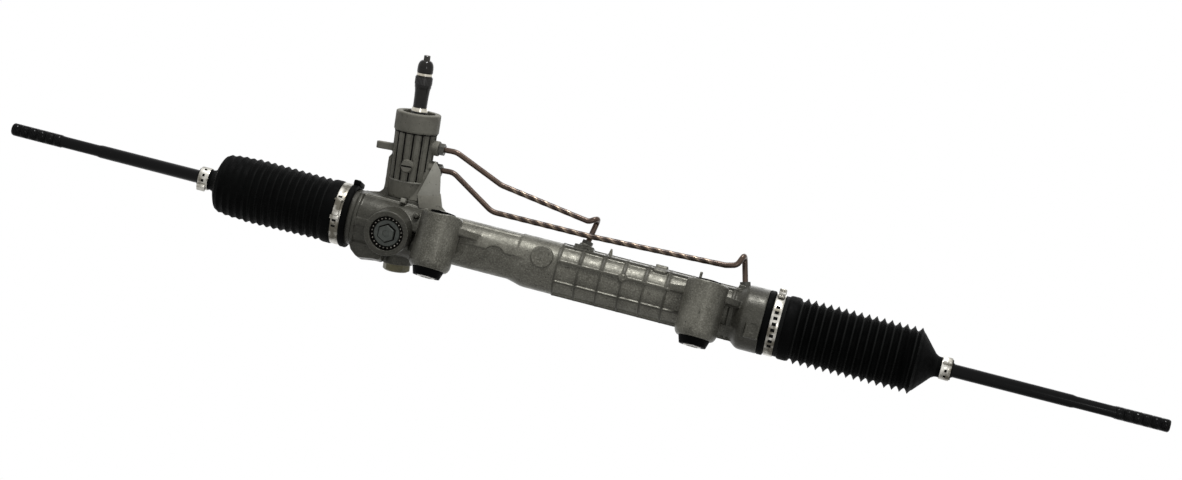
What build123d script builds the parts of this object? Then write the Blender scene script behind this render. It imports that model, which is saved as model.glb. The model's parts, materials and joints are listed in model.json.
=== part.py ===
"""Hydraulic power steering rack.

The rack bar lies along X.  Z is up, along the mount bolts, and the pinion tower stands at the -X end.
The origin is the middle of the left mount's bolt sleeve.  Sizes are millimetres.
"""
from build123d import *
from math import acos, cos, pi, radians, sin, tan
import os

os.makedirs("parts", exist_ok=True)

# ---------------------------------------------------------------- driving dimensions
# Frame and stations
rack_y = 40.0                   # rack axis behind the mount bolts
mount_spacing = 286.0
pinion_x = -49.0                # where the pinion crosses the rack
yoke_offset = -3.0              # yoke axis from the pinion crossing, along the rack
left_stop_x = -94.0             # faces that the inner sockets stop against
right_stop_x = 347.0
mouth_depth = 24.0              # housing beyond each stop face

# Travel, from the pose drawn here
travel_right = 54.0
travel_left = 78.0
stop_gap = 0.3

# Clearances
running = 0.05                  # radial, shaft in bush
sliding = 0.3                   # between parts of different bodies
seat_gap = 0.1

# Pinion frame
tower_lean = radians(17.0)      # towards -Y at the top
tower_skew = radians(4.0)       # towards -X at the top
pinion_offset = 16.0            # pinion axis from rack axis

# Teeth
tooth_module = 1.75
pinion_teeth = 9
pressure_angle = radians(25.0)
profile_shift = 0.2
rack_addendum = 0.8             # in modules
root_clearance = 0.25           # in modules
pinion_tip_radius = 9.75
backlash = 0.12
pinion_face = 28.0
flank_points = 5

# Rack bar
rack_radius = 12.5
bar_clearance = 1.0             # housing bore round the bar
socket_stud_radius = 7.0
socket_stud_length = 18.0
piston_x = 248.0
piston_width = 16.0
piston_groove = 6.0
ring_groove_depth = 2.0

# Cylinder in the tube
cylinder_radius = 21.0
cylinder_start = 133.0
inner_seal_width = 10.0
bushing_width = 8.0
outer_seal_width = 6.0
retainer_width = 4.0
port_1_x = 149.0
port_2_x = 321.5
port_hole_radius = 2.5

# Housing outside
left_body_radius = 29.5
boot_seat_radius = 30.0
tube_radius = 27.0
thick_tube_radius = 27.6
lower_tube_radius = 23.5
thick_tube_start = 81.5
saddle_radius = 26.8
relief_x = 60.5                 # half-round relief in the saddle's lower edge
relief_radius = 11.4
rib_start = 127.5
rib_pitch = 23.3
rib_columns = 8
rib_width = 2.2
ring_rib_height = 1.2
long_rib_height = 2.0
long_ribs = 8
long_rib_angle = 10.0
flange_radius = 34.2
flange_flare_start = 314.0
flange_start = 331.0

# Mounts
mount_boss_radius = 22.2
mount_boss_top = 20.6           # above the rack axis
mount_boss_bottom = -38.4
mount_bore_radius = 16.5
mount_rim_radius = 18.6
mount_rim_fillet = 7.0
bush_flange_drop = 8.0
bush_top_lip = 2.2
sleeve_outer_radius = 9.5
sleeve_bore_radius = 6.25
sleeve_overhang = 0.8
gusset_thickness = 7.0
gusset_height = 8.0             # middle of the gusset above the rack axis
gusset_reach = 20.0

# Yoke
yoke_bore_radius = 16.0
yoke_boss_radius = 23.8
yoke_boss_face = 47.0           # from the rack axis
yoke_inner = 3.0
yoke_outer = 27.0
plug_thread_radius = 18.0
plug_start = 33.0
plug_face = 45.0
plug_hex = 15.8
plug_notches = 24
plug_notch_radius = 1.5
spring_pocket_radius = 10.0
spring_pocket_depth = 9.0
spring_radius = 7.5
spring_wire = 1.3
spring_turns = 3.5

# Pinion assembly, heights along the pinion axis from the rack crossing
cavity_radius = 11.5
ball_bearing_bore = 6.0         # radii
ball_bearing_radius = 14.0
ball_bearing_top = -22.0
ball_bearing_width = 8.0
cap_thread_radius = 15.0
cap_face = -48.6
cap_hex = 27.0
nut_hex = 17.0
nut_width = 6.0
lower_boss_radius = 19.0
lower_boss_end = -39.5
needle_bore = 9.5
needle_radius = 13.0
needle_bottom = 17.0
needle_length = 12.0
tower_base_radius = 21.5
tower_joint = 32.0              # joint face between the two castings
spigot_radius = 19.0
spigot_depth = 3.0
joint_seal_width = 2.0
joint_seal_height = 1.4
pinion_seal_radius = 15.0
pinion_seal_bottom = 31.5
pinion_seal_width = 6.0

# Valve housing
valve_bore_radius = 17.5
valve_bore_start = 40.0
tower_top = 123.7
cap_ring_bottom = 103.2
cap_ring_radius = 24.0
fluted_top_radius = 22.4
fluted_bottom = 51.0
fluted_bottom_radius = 21.4
lower_ring_radius = 20.6
flutes = 14
flute_depth = 1.3
upper_port_height = 89.0
lower_port_height = 67.0
port_boss_radius = 8.0
port_boss_reach = 28.0
hose_port_heights = (92.0, 64.0)
hose_port_radii = (7.2, 6.2)
hose_port_depth = 12.0
hose_boss_radius = 11.5
hose_boss_reach = 33.0
screw_radius = 3.0
screw_head_radius = 5.0
lobe_radius = 8.5
screw_circle = 27.0
gusset_front = -13.3            # from the rack axis, towards the tower's front
gusset_depth = 12.0
gusset_foot = 32.5              # reach along the rack at the joint

# Valve and input shaft
upper_bearing_bottom = 95.0
upper_bearing_width = 10.0
journal_radius = 8.5
circlip_thickness = 1.5
seal_bottom = 108.0
seal_width = 7.0
sleeve_bottom = 41.0
sleeve_top = 92.0
valve_sleeve_radius = 17.0
valve_spool_radius = 10.1
valve_ring_width = 2.6
torsion_bar_radius = 3.45
neck_radius = 7.4
neck_bottom = 129.5
neck_top = 148.8
serration_radius = 8.85
shaft_dome_top = 178.1
torsion_bar_top = 184.5

# Inner joints, tie rods and bellows
ball_radius = 12.5
ball_to_socket_face = 20.0
socket_radius = 17.5
socket_lip = 12.0
ball_seat_wall = 1.9
lock_washer_thickness = 2.0
tie_rod_neck = 6.4
tie_rod_radius = 6.9
thin_shank_radius = 6.2
thread_radius = 7.0
thread_length = 58.0
left_rod_length = 316.0
right_rod_length = 329.5
boot_clamp_distance = 95.6      # inner ball to the middle of the small clamp
boot_seat_on_rod = 8.4
small_clamp_width = 11.0
boot_wall = 2.0
boot_neck_wall = 2.0
boot_lip_width = 9.5
large_clamp_width = 10.5
clamp_thickness = 0.9
left_boot_peaks = 12 * (34.4,) + (34.0, 32.8, 30.6)
left_boot_depth = 2.8            # from a peak to the valley beside it
right_boot_peaks = 16 * (35.4,)
right_boot_depth = 4.8

# Pipes
pipe_radius = 3.0
pipe_bore = 2.1
union_hex = 11.0
union_height = 6.0

# ---------------------------------------------------------------- derived places
bush_bottom = mount_boss_bottom - bush_flange_drop
bush_top = mount_boss_top + bush_top_lip
sleeve_bottom_face = bush_bottom - sleeve_overhang
sleeve_top_face = bush_top + sleeve_overhang
rack_z = -(sleeve_bottom_face + sleeve_top_face) / 2    # the origin is the middle of the sleeve
pinion_dir = Vector(-sin(tower_skew), -cos(tower_skew) * sin(tower_lean), cos(tower_skew) * cos(tower_lean))
normal_dir = Vector(0, cos(tower_lean), sin(tower_lean))
across_dir = normal_dir.cross(pinion_dir)
rack_centre = Vector(0, rack_y, rack_z)
crossing = Vector(pinion_x, rack_y, rack_z)
pinion_centre = crossing + normal_dir * pinion_offset

rack_axis = Axis(tuple(rack_centre), (1, 0, 0))
pinion_axis = Axis(tuple(pinion_centre), tuple(pinion_dir))
rack_profile = Plane(origin=rack_centre, x_dir=(1, 0, 0), z_dir=(0, -1, 0))
pinion_plane = Plane(origin=pinion_centre, x_dir=across_dir, z_dir=pinion_dir)
pinion_profile = Plane(origin=pinion_centre, x_dir=across_dir, z_dir=-normal_dir)
yoke_centre = crossing + Vector(yoke_offset, 0, 0)
yoke_plane = Plane(origin=yoke_centre, x_dir=(1, 0, 0), z_dir=-normal_dir)
yoke_axis = Axis(tuple(yoke_centre), tuple(-normal_dir))
yoke_profile = Plane(origin=yoke_centre, x_dir=(1, 0, 0), z_dir=(normal_dir.cross(Vector(1, 0, 0))))

pitch_radius = tooth_module * pinion_teeth / 2
base_radius = pitch_radius * cos(pressure_angle)
reference_line = pitch_radius + profile_shift * tooth_module
rack_tip_line = reference_line - rack_addendum * tooth_module
rack_root_line = pinion_tip_radius + root_clearance * tooth_module
pinion_root_radius = rack_tip_line - root_clearance * tooth_module

ball_to_stop = ball_to_socket_face + lock_washer_thickness + stop_gap
left_ball_x = left_stop_x - travel_right - ball_to_stop
right_ball_x = right_stop_x + travel_left + ball_to_stop
bar_left_x = left_ball_x + ball_to_socket_face + lock_washer_thickness
bar_right_x = right_ball_x - ball_to_socket_face - lock_washer_thickness


def across(x):
    """Section plane of the rack at station x: sketch x is +Y, sketch y is +Z."""
    return Plane(origin=(x, rack_y, rack_z), x_dir=(0, 1, 0), z_dir=(1, 0, 0))


def tower(height):
    """Section plane of the pinion axis: sketch x is across, sketch y is away from the rack."""
    return pinion_plane.offset(height)


def turn(points, plane, axis, mode=Mode.ADD):
    """Revolve a closed outline into the piece that is being built."""
    with BuildSketch(plane) as outline:
        with BuildLine():
            Polyline(*points, close=True)
        make_face()
    revolve(outline.sketch, axis=axis, mode=mode)


def on_rack(rings, mode=Mode.ADD):
    """Turn an outline of (station, radius) points about the rack axis."""
    turn(rings, rack_profile, rack_axis, mode)


def on_pinion(rings, mode=Mode.ADD):
    """Turn an outline of (radius, height) points about the pinion axis."""
    turn(rings, pinion_profile, pinion_axis, mode)


def rod(plane, radius, start, end, mode=Mode.ADD):
    """Round bar along a plane's normal, between two heights."""
    with Locations(plane.offset(start)):
        Cylinder(radius, end - start, align=(Align.CENTER, Align.CENTER, Align.MIN), mode=mode)


def ring(plane, inner, outer, start, end):
    """Plain ring along a plane's normal, between two heights."""
    rod(plane, outer, start, end)
    rod(plane, inner, start, end, mode=Mode.SUBTRACT)


def prism(plane, flats, start, end, mode=Mode.ADD):
    """Hexagon bar along a plane's normal."""
    with BuildSketch(plane.offset(start)) as outline:
        RegularPolygon(flats / 2, 6, major_radius=False)
    extrude(outline.sketch, amount=end - start, dir=plane.z_dir, mode=mode)


def save(builder, name):
    builder.part.label = name
    export_step(builder.part, f"parts/{name}.step")


# ---------------------------------------------------------------- mount bushes
def mount_plane(x):
    """Horizontal plane at rack height, centred on a mount bolt."""
    return Plane(origin=(x, 0, rack_z))


for side, bolt_x in (("left", 0.0), ("right", mount_spacing)):
    bolt_axis = Axis((bolt_x, 0, rack_z), (0, 0, 1))
    bolt_profile = Plane(origin=(bolt_x, 0, rack_z), x_dir=(1, 0, 0), z_dir=(0, -1, 0))
    with BuildPart() as bush:
        turn(
            [
                (sleeve_outer_radius, bush_bottom),
                (mount_bore_radius - 2.4, bush_bottom),
                (mount_bore_radius - 0.2, mount_boss_bottom - 1.0),
                (mount_bore_radius, mount_boss_bottom),
                (mount_bore_radius, mount_boss_top),
                (mount_bore_radius - 3.2, mount_boss_top),
                (mount_bore_radius - 3.2, bush_top),
                (sleeve_outer_radius, bush_top),
            ],
            bolt_profile,
            bolt_axis,
        )
    save(bush, f"{side}_bush_rubber")

    with BuildPart() as sleeve:
        ring(
            mount_plane(bolt_x),
            sleeve_bore_radius,
            sleeve_outer_radius,
            sleeve_bottom_face,
            sleeve_top_face,
        )
        chamfer(sleeve.edges().filter_by(GeomType.CIRCLE).group_by(SortBy.RADIUS)[-1], 0.6)
    save(sleeve, f"{side}_bush_sleeve")


# ---------------------------------------------------------------- pinion
def pinion_outline():
    """Section of the pinion: involute flanks by formula, tooth 0 facing the rack."""
    thickness = tooth_module * (pi / 2 + 2 * profile_shift * tan(pressure_angle)) - backlash
    half_at_pitch = thickness / 2 / pitch_radius

    def involute(angle):
        return tan(angle) - angle

    def flank(radius, hand, tooth):
        half = half_at_pitch + involute(pressure_angle) - involute(acos(min(1, base_radius / radius)))
        turned = -pi / 2 + 2 * pi * tooth / pinion_teeth + hand * half
        return Vector(radius * cos(turned), radius * sin(turned))

    with BuildSketch(tower(-pinion_face / 2)) as section:
        Circle(pinion_root_radius)
        for tooth in range(pinion_teeth):
            with BuildSketch(mode=Mode.PRIVATE) as one:
                with BuildLine():
                    steps = [base_radius + (pinion_tip_radius - base_radius) * i / (flank_points - 1)
                             for i in range(flank_points)]
                    right = [flank(r, -1, tooth) for r in steps]
                    left = [flank(r, 1, tooth) for r in reversed(steps)]
                    middle = -pi / 2 + 2 * pi * tooth / pinion_teeth
                    foot_right = Vector(right[0].X, right[0].Y) * (0.6 * pinion_root_radius / base_radius)
                    foot_left = Vector(left[-1].X, left[-1].Y) * (0.6 * pinion_root_radius / base_radius)
                    Line(foot_right, right[0])
                    Spline(*right)
                    ThreePointArc(
                        right[-1],
                        Vector(pinion_tip_radius * cos(middle), pinion_tip_radius * sin(middle)),
                        left[0],
                    )
                    Spline(*left)
                    Line(left[-1], foot_left)
                    Line(foot_left, foot_right)
                make_face()
            add(one.sketch_local)
    return section.sketch


nut_top = ball_bearing_top - ball_bearing_width
nut_bottom = nut_top - nut_width
with BuildPart() as pinion:
    extrude(pinion_outline(), amount=pinion_face, dir=pinion_dir)
    on_pinion(
        [
            (0, nut_bottom - 2.0),
            (ball_bearing_bore - running, nut_bottom - 2.0),
            (ball_bearing_bore - running, ball_bearing_top),
            (8.0, ball_bearing_top),
            (8.0, -pinion_face / 2),
            (0, -pinion_face / 2),
        ]
    )
    on_pinion(
        [
            (0, pinion_face / 2),
            (needle_bore - running, pinion_face / 2),
            (needle_bore - running, sleeve_bottom - 1.0),
            (valve_sleeve_radius - 2.0, sleeve_bottom - 1.0),
            (valve_sleeve_radius - 2.0, sleeve_bottom + 1.0),
            (11.5, sleeve_bottom + 1.0),
            (11.5, sleeve_bottom + 7.0),
            (0, sleeve_bottom + 7.0),
        ]
    )
    rod(pinion_plane, torsion_bar_radius + running, nut_bottom + 8.0, sleeve_bottom + 7.0, mode=Mode.SUBTRACT)
    rod(pinion_plane, 7.0 + running, 24.0, sleeve_bottom + 7.0, mode=Mode.SUBTRACT)
save(pinion, "pinion")

with BuildPart() as pinion_nut:
    prism(pinion_plane, nut_hex, nut_bottom, nut_top - 0.2)
    rod(pinion_plane, ball_bearing_bore - running, nut_bottom, nut_top, mode=Mode.SUBTRACT)
save(pinion_nut, "pinion_nut")

with BuildPart() as ball_bearing:
    ring(pinion_plane, ball_bearing_bore, ball_bearing_radius, nut_top, ball_bearing_top)
    for face_height in (nut_top, ball_bearing_top - 0.6):
        with BuildSketch(tower(face_height)) as groove:
            Circle(11.6)
            Circle(8.2, mode=Mode.SUBTRACT)
        extrude(groove.sketch, amount=0.6, dir=pinion_dir, mode=Mode.SUBTRACT)
save(ball_bearing, "pinion_ball_bearing")

with BuildPart() as needle_bearing:
    ring(pinion_plane, needle_bore, needle_radius, needle_bottom, needle_bottom + needle_length)
save(needle_bearing, "pinion_needle_bearing")

with BuildPart() as pinion_seal:
    on_pinion(
        [
            (needle_bore, pinion_seal_bottom),
            (pinion_seal_radius, pinion_seal_bottom),
            (pinion_seal_radius, pinion_seal_bottom + pinion_seal_width),
            (pinion_seal_radius - 1.5, pinion_seal_bottom + pinion_seal_width),
            (pinion_seal_radius - 1.5, pinion_seal_bottom + 1.5),
            (needle_bore + 1.6, pinion_seal_bottom + 1.5),
            (needle_bore + 1.6, pinion_seal_bottom + pinion_seal_width - 1.0),
            (needle_bore, pinion_seal_bottom + pinion_seal_width - 1.0),
        ]
    )
save(pinion_seal, "pinion_seal")

cap_mouth = nut_top
with BuildPart() as end_cap:
    on_pinion(
        [
            (0, cap_face),
            (cap_hex / 2 - 1.5, cap_face),
            (cap_hex / 2 + 1.0, cap_face + 1.5),
            (cap_hex / 2 + 1.0, lower_boss_end),
            (cap_thread_radius, lower_boss_end),
            (cap_thread_radius, cap_mouth - 2.0),
            (ball_bearing_radius, cap_mouth - 2.0),
            (ball_bearing_radius, cap_mouth),
            (ball_bearing_radius - 2.5, cap_mouth),
            (ball_bearing_radius - 2.5, cap_face + 5.0),
            (0, cap_face + 5.0),
        ]
    )
    with BuildSketch(tower(cap_face)) as flats:
        Circle(30)
        RegularPolygon(cap_hex / 2, 6, major_radius=False, mode=Mode.SUBTRACT)
    extrude(flats.sketch, amount=lower_boss_end - cap_face - 1.5, dir=pinion_dir, mode=Mode.SUBTRACT)
save(end_cap, "pinion_end_cap")


# ---------------------------------------------------------------- valve and input shaft
ring_heights = [sleeve_bottom + 7.0 + 11.5 * i for i in range(4)]
with BuildPart() as valve_sleeve:
    ring(pinion_plane, valve_spool_radius + running, valve_sleeve_radius, sleeve_bottom, sleeve_top)
    rod(pinion_plane, 11.5, sleeve_bottom, sleeve_bottom + 7.0, mode=Mode.SUBTRACT)
    rod(pinion_plane, valve_sleeve_radius - 2.0, sleeve_bottom, sleeve_bottom + 1.0, mode=Mode.SUBTRACT)
    for height in ring_heights:
        with BuildSketch(tower(height)) as groove:
            Circle(valve_sleeve_radius + 1)
            Circle(valve_sleeve_radius - 1.5, mode=Mode.SUBTRACT)
        extrude(groove.sketch, amount=valve_ring_width, dir=pinion_dir, mode=Mode.SUBTRACT)
    for height in ring_heights[:-1]:
        with Locations(tower(height + 7.0)):
            with PolarLocations(valve_sleeve_radius, 4, start_angle=20):
                Cylinder(1.6, 9, rotation=(0, 90, 0), mode=Mode.SUBTRACT)
save(valve_sleeve, "valve_sleeve")

with BuildPart() as sleeve_rings:
    for height in ring_heights:
        ring_radius = valve_bore_radius - running
        with BuildSketch(tower(height)) as section:
            Circle(ring_radius)
            Circle(valve_sleeve_radius - 1.5, mode=Mode.SUBTRACT)
        extrude(section.sketch, amount=valve_ring_width, dir=pinion_dir)
save(sleeve_rings, "valve_sleeve_rings")

with BuildPart() as input_shaft:
    on_pinion(
        [
            (0, 24.5),
            (7.0, 24.5),
            (7.0, sleeve_bottom + 8.0),
            (valve_spool_radius, sleeve_bottom + 8.0),
            (valve_spool_radius, sleeve_top + 1.0),
            (journal_radius - running, sleeve_top + 1.0),
            (journal_radius - running, neck_bottom - 4.0),
            (journal_radius + 0.7, neck_bottom - 3.4),
            (neck_radius - 0.4, neck_bottom),
            (neck_radius, neck_bottom + 0.4),
            (neck_radius, neck_top),
            (neck_radius - 0.5, neck_top + 0.5),
            (neck_radius - 0.5, neck_top + 3.0),
            (serration_radius, neck_top + 4.0),
            (serration_radius, neck_top + 12.5),
            (serration_radius - 1.0, neck_top + 13.2),
            (serration_radius - 1.0, neck_top + 15.8),
            (serration_radius - 0.7, neck_top + 16.4),
            (serration_radius - 0.7, neck_top + 22.0),
            (serration_radius - 2.2, neck_top + 26.5),
            (serration_radius - 4.6, shaft_dome_top),
            (0, shaft_dome_top),
        ]
    )
    rod(pinion_plane, torsion_bar_radius + 0.4, 24.5, neck_top, mode=Mode.SUBTRACT)
    rod(pinion_plane, torsion_bar_radius, neck_top, shaft_dome_top, mode=Mode.SUBTRACT)
    for height in ring_heights[:-1]:
        with Locations(tower(height + 7.0)):
            with PolarLocations(valve_spool_radius + 0.4, 8):
                Box(2.6, 4.0, 6.5, mode=Mode.SUBTRACT)
save(input_shaft, "input_shaft")

with BuildPart() as torsion_bar:
    on_pinion(
        [
            (0, nut_bottom + 9.0),
            (torsion_bar_radius, nut_bottom + 9.0),
            (torsion_bar_radius, 10.0),
            (2.6, 14.0),
            (2.6, neck_top - 6.0),
            (torsion_bar_radius, neck_top - 2.0),
            (torsion_bar_radius, torsion_bar_top - 0.5),
            (torsion_bar_radius - 0.5, torsion_bar_top),
            (0, torsion_bar_top),
        ]
    )
save(torsion_bar, "torsion_bar")

with BuildPart() as upper_bearing:
    top = upper_bearing_bottom + upper_bearing_width
    ring(pinion_plane, journal_radius, valve_bore_radius, upper_bearing_bottom, top)
    with BuildSketch(tower(top - 0.8)) as groove:
        Circle(15.0)
        Circle(11.2, mode=Mode.SUBTRACT)
    extrude(groove.sketch, amount=0.8, dir=pinion_dir, mode=Mode.SUBTRACT)
save(upper_bearing, "upper_shaft_bearing")

circlip_bottom = upper_bearing_bottom + upper_bearing_width
with BuildPart() as circlip:
    with BuildSketch(tower(circlip_bottom)) as outline:
        Circle(valve_bore_radius + 1.0)
        Circle(valve_bore_radius - 2.4, mode=Mode.SUBTRACT)
        with Locations((0, valve_bore_radius)):
            Rectangle(7.0, 9.0, mode=Mode.SUBTRACT)
    extrude(outline.sketch, amount=circlip_thickness, dir=pinion_dir)
save(circlip, "bearing_circlip")

with BuildPart() as shaft_seal:
    on_pinion(
        [
            (journal_radius, seal_bottom),
            (valve_bore_radius, seal_bottom),
            (valve_bore_radius, seal_bottom + seal_width),
            (journal_radius + 4.0, seal_bottom + seal_width),
            (journal_radius + 2.2, seal_bottom + seal_width + 2.2),
            (journal_radius, seal_bottom + seal_width + 2.2),
        ]
    )
save(shaft_seal, "input_shaft_seal")


# ---------------------------------------------------------------- valve housing
lobe_angles = (27.0, 120.0)
spigot_recess = tower_joint - spigot_depth


def lobe_spot(angle):
    """Screw position in a tower section sketch."""
    return (screw_circle * cos(radians(angle)), screw_circle * sin(radians(angle)))


def spoke(plane_height, angle, radius, start, end, mode=Mode.ADD):
    """Round bar that points outwards from the pinion axis at one height."""
    direction = across_dir * cos(radians(angle)) + normal_dir * sin(radians(angle))
    base = pinion_centre + pinion_dir * plane_height
    rod(Plane(origin=base, x_dir=pinion_dir, z_dir=direction), radius, start, end, mode=mode)


gusset_plane = Plane(origin=(0, rack_y + gusset_front, 0), x_dir=(1, 0, 0), z_dir=(0, -1, 0))
port_angle = -4.0               # pipe ports point along the rack
hose_angle = 90.0               # hose ports point away from the rack
with BuildPart() as valve_housing:
    on_pinion(
        [
            (0, tower_joint),
            (lower_ring_radius, tower_joint),
            (lower_ring_radius + 0.4, tower_joint + 3.0),
            (lower_ring_radius + 0.8, fluted_bottom),
            (fluted_bottom_radius - flute_depth, fluted_bottom),
            (fluted_top_radius - flute_depth, cap_ring_bottom),
            (cap_ring_radius - 0.6, cap_ring_bottom),
            (cap_ring_radius, cap_ring_bottom + 1.2),
            (cap_ring_radius, tower_top - 1.0),
            (cap_ring_radius - 1.0, tower_top),
            (0, tower_top),
        ]
    )
    # Flutes between the lower ring and the cap ring
    with BuildSketch(tower(fluted_bottom)) as flute_foot:
        with PolarLocations(fluted_bottom_radius - flute_depth, flutes, start_angle=7):
            Rectangle(2 * flute_depth, 4.6)
    with BuildSketch(tower(cap_ring_bottom)) as flute_head:
        with PolarLocations(fluted_top_radius - flute_depth, flutes, start_angle=7):
            Rectangle(2 * flute_depth, 5.0)
    for foot, head in zip(flute_foot.sketch.faces(), flute_head.sketch.faces()):
        loft([foot, head])
    # Flange and gusset on the rack side of the tower
    with BuildSketch(tower(tower_joint)) as flange:
        Circle(lower_ring_radius)
        for angle in lobe_angles:
            with Locations(lobe_spot(angle)):
                Circle(lobe_radius)
        make_hull()
    extrude(flange.sketch, amount=8.0, dir=pinion_dir)
    with BuildSketch(gusset_plane) as gusset:
        with BuildLine():
            Polyline(
                (pinion_x, rack_z + tower_joint - 10.0),
                (pinion_x + gusset_foot, rack_z + tower_joint - 10.0),
                (pinion_x + gusset_foot - 4.5, rack_z + lower_port_height - 6.0),
                (pinion_x + gusset_foot - 6.5, rack_z + lower_port_height + 3.0),
                (pinion_x - 2.0, rack_z + lower_port_height + 3.0),
                close=True,
            )
        make_face()
    extrude(gusset.sketch, amount=gusset_depth, dir=(0, 1, 0))
    with BuildSketch(tower(tower_joint)) as joint_face:
        Rectangle(160, 160)
    extrude(joint_face.sketch, amount=-40, dir=pinion_dir, mode=Mode.SUBTRACT)
    rod(pinion_plane, spigot_radius - seat_gap, spigot_recess + seat_gap, tower_joint)
    # Pipe ports, hose ports and the gallery plug boss
    for height in (upper_port_height, lower_port_height):
        spoke(height, port_angle, port_boss_radius, 0, port_boss_reach)
    for height in hose_port_heights:
        spoke(height, hose_angle, hose_boss_radius, 0, hose_boss_reach)
    spoke(67.8, -90.0, 6.6, 0, 23.6)
    # Pad and ear on the outboard side
    with BuildSketch(tower(tower_joint + 6.0)) as pad:
        with Locations((-19.0, 0)):
            Rectangle(10.0, 15.0)
    extrude(pad.sketch, amount=34.0, dir=pinion_dir)
    with BuildSketch(tower(tower_joint + 40.0)) as pad_foot:
        with Locations((-19.0, 0)):
            Rectangle(10.0, 15.0)
    with BuildSketch(tower(tower_joint + 46.0)) as pad_head:
        with Locations((-17.0, 0)):
            Rectangle(6.0, 11.0)
    loft([pad_foot.sketch.faces()[0], pad_head.sketch.faces()[0]])
    with BuildSketch(tower(79.0)) as ear:
        with Locations((-27.0, -2.0)):
            SlotOverall(26.0, 8.0)
    extrude(ear.sketch, amount=7.4, dir=pinion_dir)
    # Bores
    with BuildSketch(tower(spigot_recess)) as seal_groove:
        Circle(spigot_radius)
        Circle(spigot_radius - joint_seal_width, mode=Mode.SUBTRACT)
    extrude(seal_groove.sketch, amount=joint_seal_height, dir=pinion_dir, mode=Mode.SUBTRACT)
    rod(pinion_plane, pinion_seal_radius, spigot_recess, pinion_seal_bottom + pinion_seal_width, mode=Mode.SUBTRACT)
    rod(pinion_plane, needle_bore + 2.0, pinion_seal_bottom, valve_bore_start, mode=Mode.SUBTRACT)
    rod(pinion_plane, valve_bore_radius, valve_bore_start - 1.0, tower_top, mode=Mode.SUBTRACT)
    rod(pinion_plane, valve_bore_radius + 1.0, circlip_bottom, circlip_bottom + circlip_thickness, mode=Mode.SUBTRACT)
    for height in (upper_port_height, lower_port_height):
        spoke(height, port_angle, 7.2, port_boss_reach, port_boss_reach + 14.0, mode=Mode.SUBTRACT)
        spoke(height, port_angle, pipe_radius + 1.6, port_boss_reach - 6.0, port_boss_reach, mode=Mode.SUBTRACT)
        spoke(height, port_angle, port_hole_radius, 0, port_boss_reach, mode=Mode.SUBTRACT)
    for height, radius in zip(hose_port_heights, hose_port_radii):
        start = hose_boss_reach - hose_port_depth
        spoke(height, hose_angle, radius, start, hose_boss_reach, mode=Mode.SUBTRACT)
        spoke(height, hose_angle, 3.0, 0, start, mode=Mode.SUBTRACT)
    spoke(67.8, -90.0, 4.5, 19.6, 23.6, mode=Mode.SUBTRACT)
    for angle in lobe_angles:
        with Locations(tower(tower_joint)):
            with Locations(lobe_spot(angle)):
                Cylinder(screw_radius + 0.3, 60, mode=Mode.SUBTRACT)
save(valve_housing, "valve_housing")

with BuildPart() as gallery_plug:
    spoke(67.8, -90.0, 4.5, 19.6, 23.2)
    spoke(67.8, -90.0, 5.6, 23.6, 25.2)
    spoke(67.8, -90.0, 4.5, 23.2, 23.6)
    plug_top = Plane(
        origin=pinion_centre + pinion_dir * 67.8 - normal_dir * 25.2,
        x_dir=pinion_dir,
        z_dir=-normal_dir,
    )
    with Locations(plug_top):
        Box(1.8, 12.0, 2.0, mode=Mode.SUBTRACT)
save(gallery_plug, "gallery_plug")

with BuildPart() as joint_seal:
    ring(
        pinion_plane,
        spigot_radius - joint_seal_width,
        spigot_radius,
        spigot_recess,
        spigot_recess + joint_seal_height,
    )
save(joint_seal, "valve_housing_o_ring")

with BuildPart() as joint_screws:
    for angle in lobe_angles:
        with Locations(tower(tower_joint + 8.0)):
            with Locations(lobe_spot(angle)):
                Cylinder(screw_head_radius, 5.0, align=(Align.CENTER, Align.CENTER, Align.MIN))
        with Locations(tower(tower_joint - 12.0)):
            with Locations(lobe_spot(angle)):
                Cylinder(screw_radius, 20.0, align=(Align.CENTER, Align.CENTER, Align.MIN))
        with BuildSketch(tower(tower_joint + 13.0 - 3.0)) as socket:
            with Locations(lobe_spot(angle)):
                RegularPolygon(2.5, 6, major_radius=False)
        extrude(socket.sketch, amount=3.0, dir=pinion_dir, mode=Mode.SUBTRACT)
save(joint_screws, "valve_housing_screws")



# ---------------------------------------------------------------- rack housing
left_mouth = left_stop_x - mouth_depth
right_mouth = right_stop_x + mouth_depth
port_1_top = (port_1_x, rack_y + 2.0, rack_z + 32.4)
port_2_top = (port_2_x, rack_y, rack_z + 31.6)
port_1_hook = (153.6, rack_y + 3.0, rack_z + 60.6)      # last bends of the pipes, above their ports
port_2_hook = (313.4, rack_y - 1.0, rack_z + 60.6)
ports = ((port_1_top, port_1_hook), (port_2_top, port_2_hook))


def port_plane(port):
    """Plane on top of a transfer port boss, facing along the pipe's last leg."""
    top, hook = port
    return Plane(origin=top, x_dir=(0, 1, 0), z_dir=Vector(hook) - Vector(top))


def long_bar(angle, inner, outer, width, start, end):
    """Bar along the tube; the angle is from the front of the tube, upwards."""
    with BuildSketch(across(start)) as section:
        with PolarLocations((inner + outer) / 2, 1, start_angle=180 - angle):
            Rectangle(outer - inner, width)
    extrude(section.sketch, amount=end - start, dir=(1, 0, 0))


def mount_gusset(bolt_x, hand):
    """Flat web between a mount boss and the tube."""
    level = rack_z + gusset_height - gusset_thickness / 2
    with BuildSketch(Plane(origin=(bolt_x, 0, level))) as web:
        with BuildLine():
            Polyline(
                (0, -mount_boss_radius + 10.0),
                (hand * (mount_boss_radius - 3.0), -8.0),
                (hand * (mount_boss_radius + gusset_reach), rack_y - tube_radius + 2.0),
                (hand * (mount_boss_radius + gusset_reach), rack_y),
                (0, rack_y),
                close=True,
            )
        make_face()
    extrude(web.sketch, amount=gusset_thickness, dir=(0, 0, 1))


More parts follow.
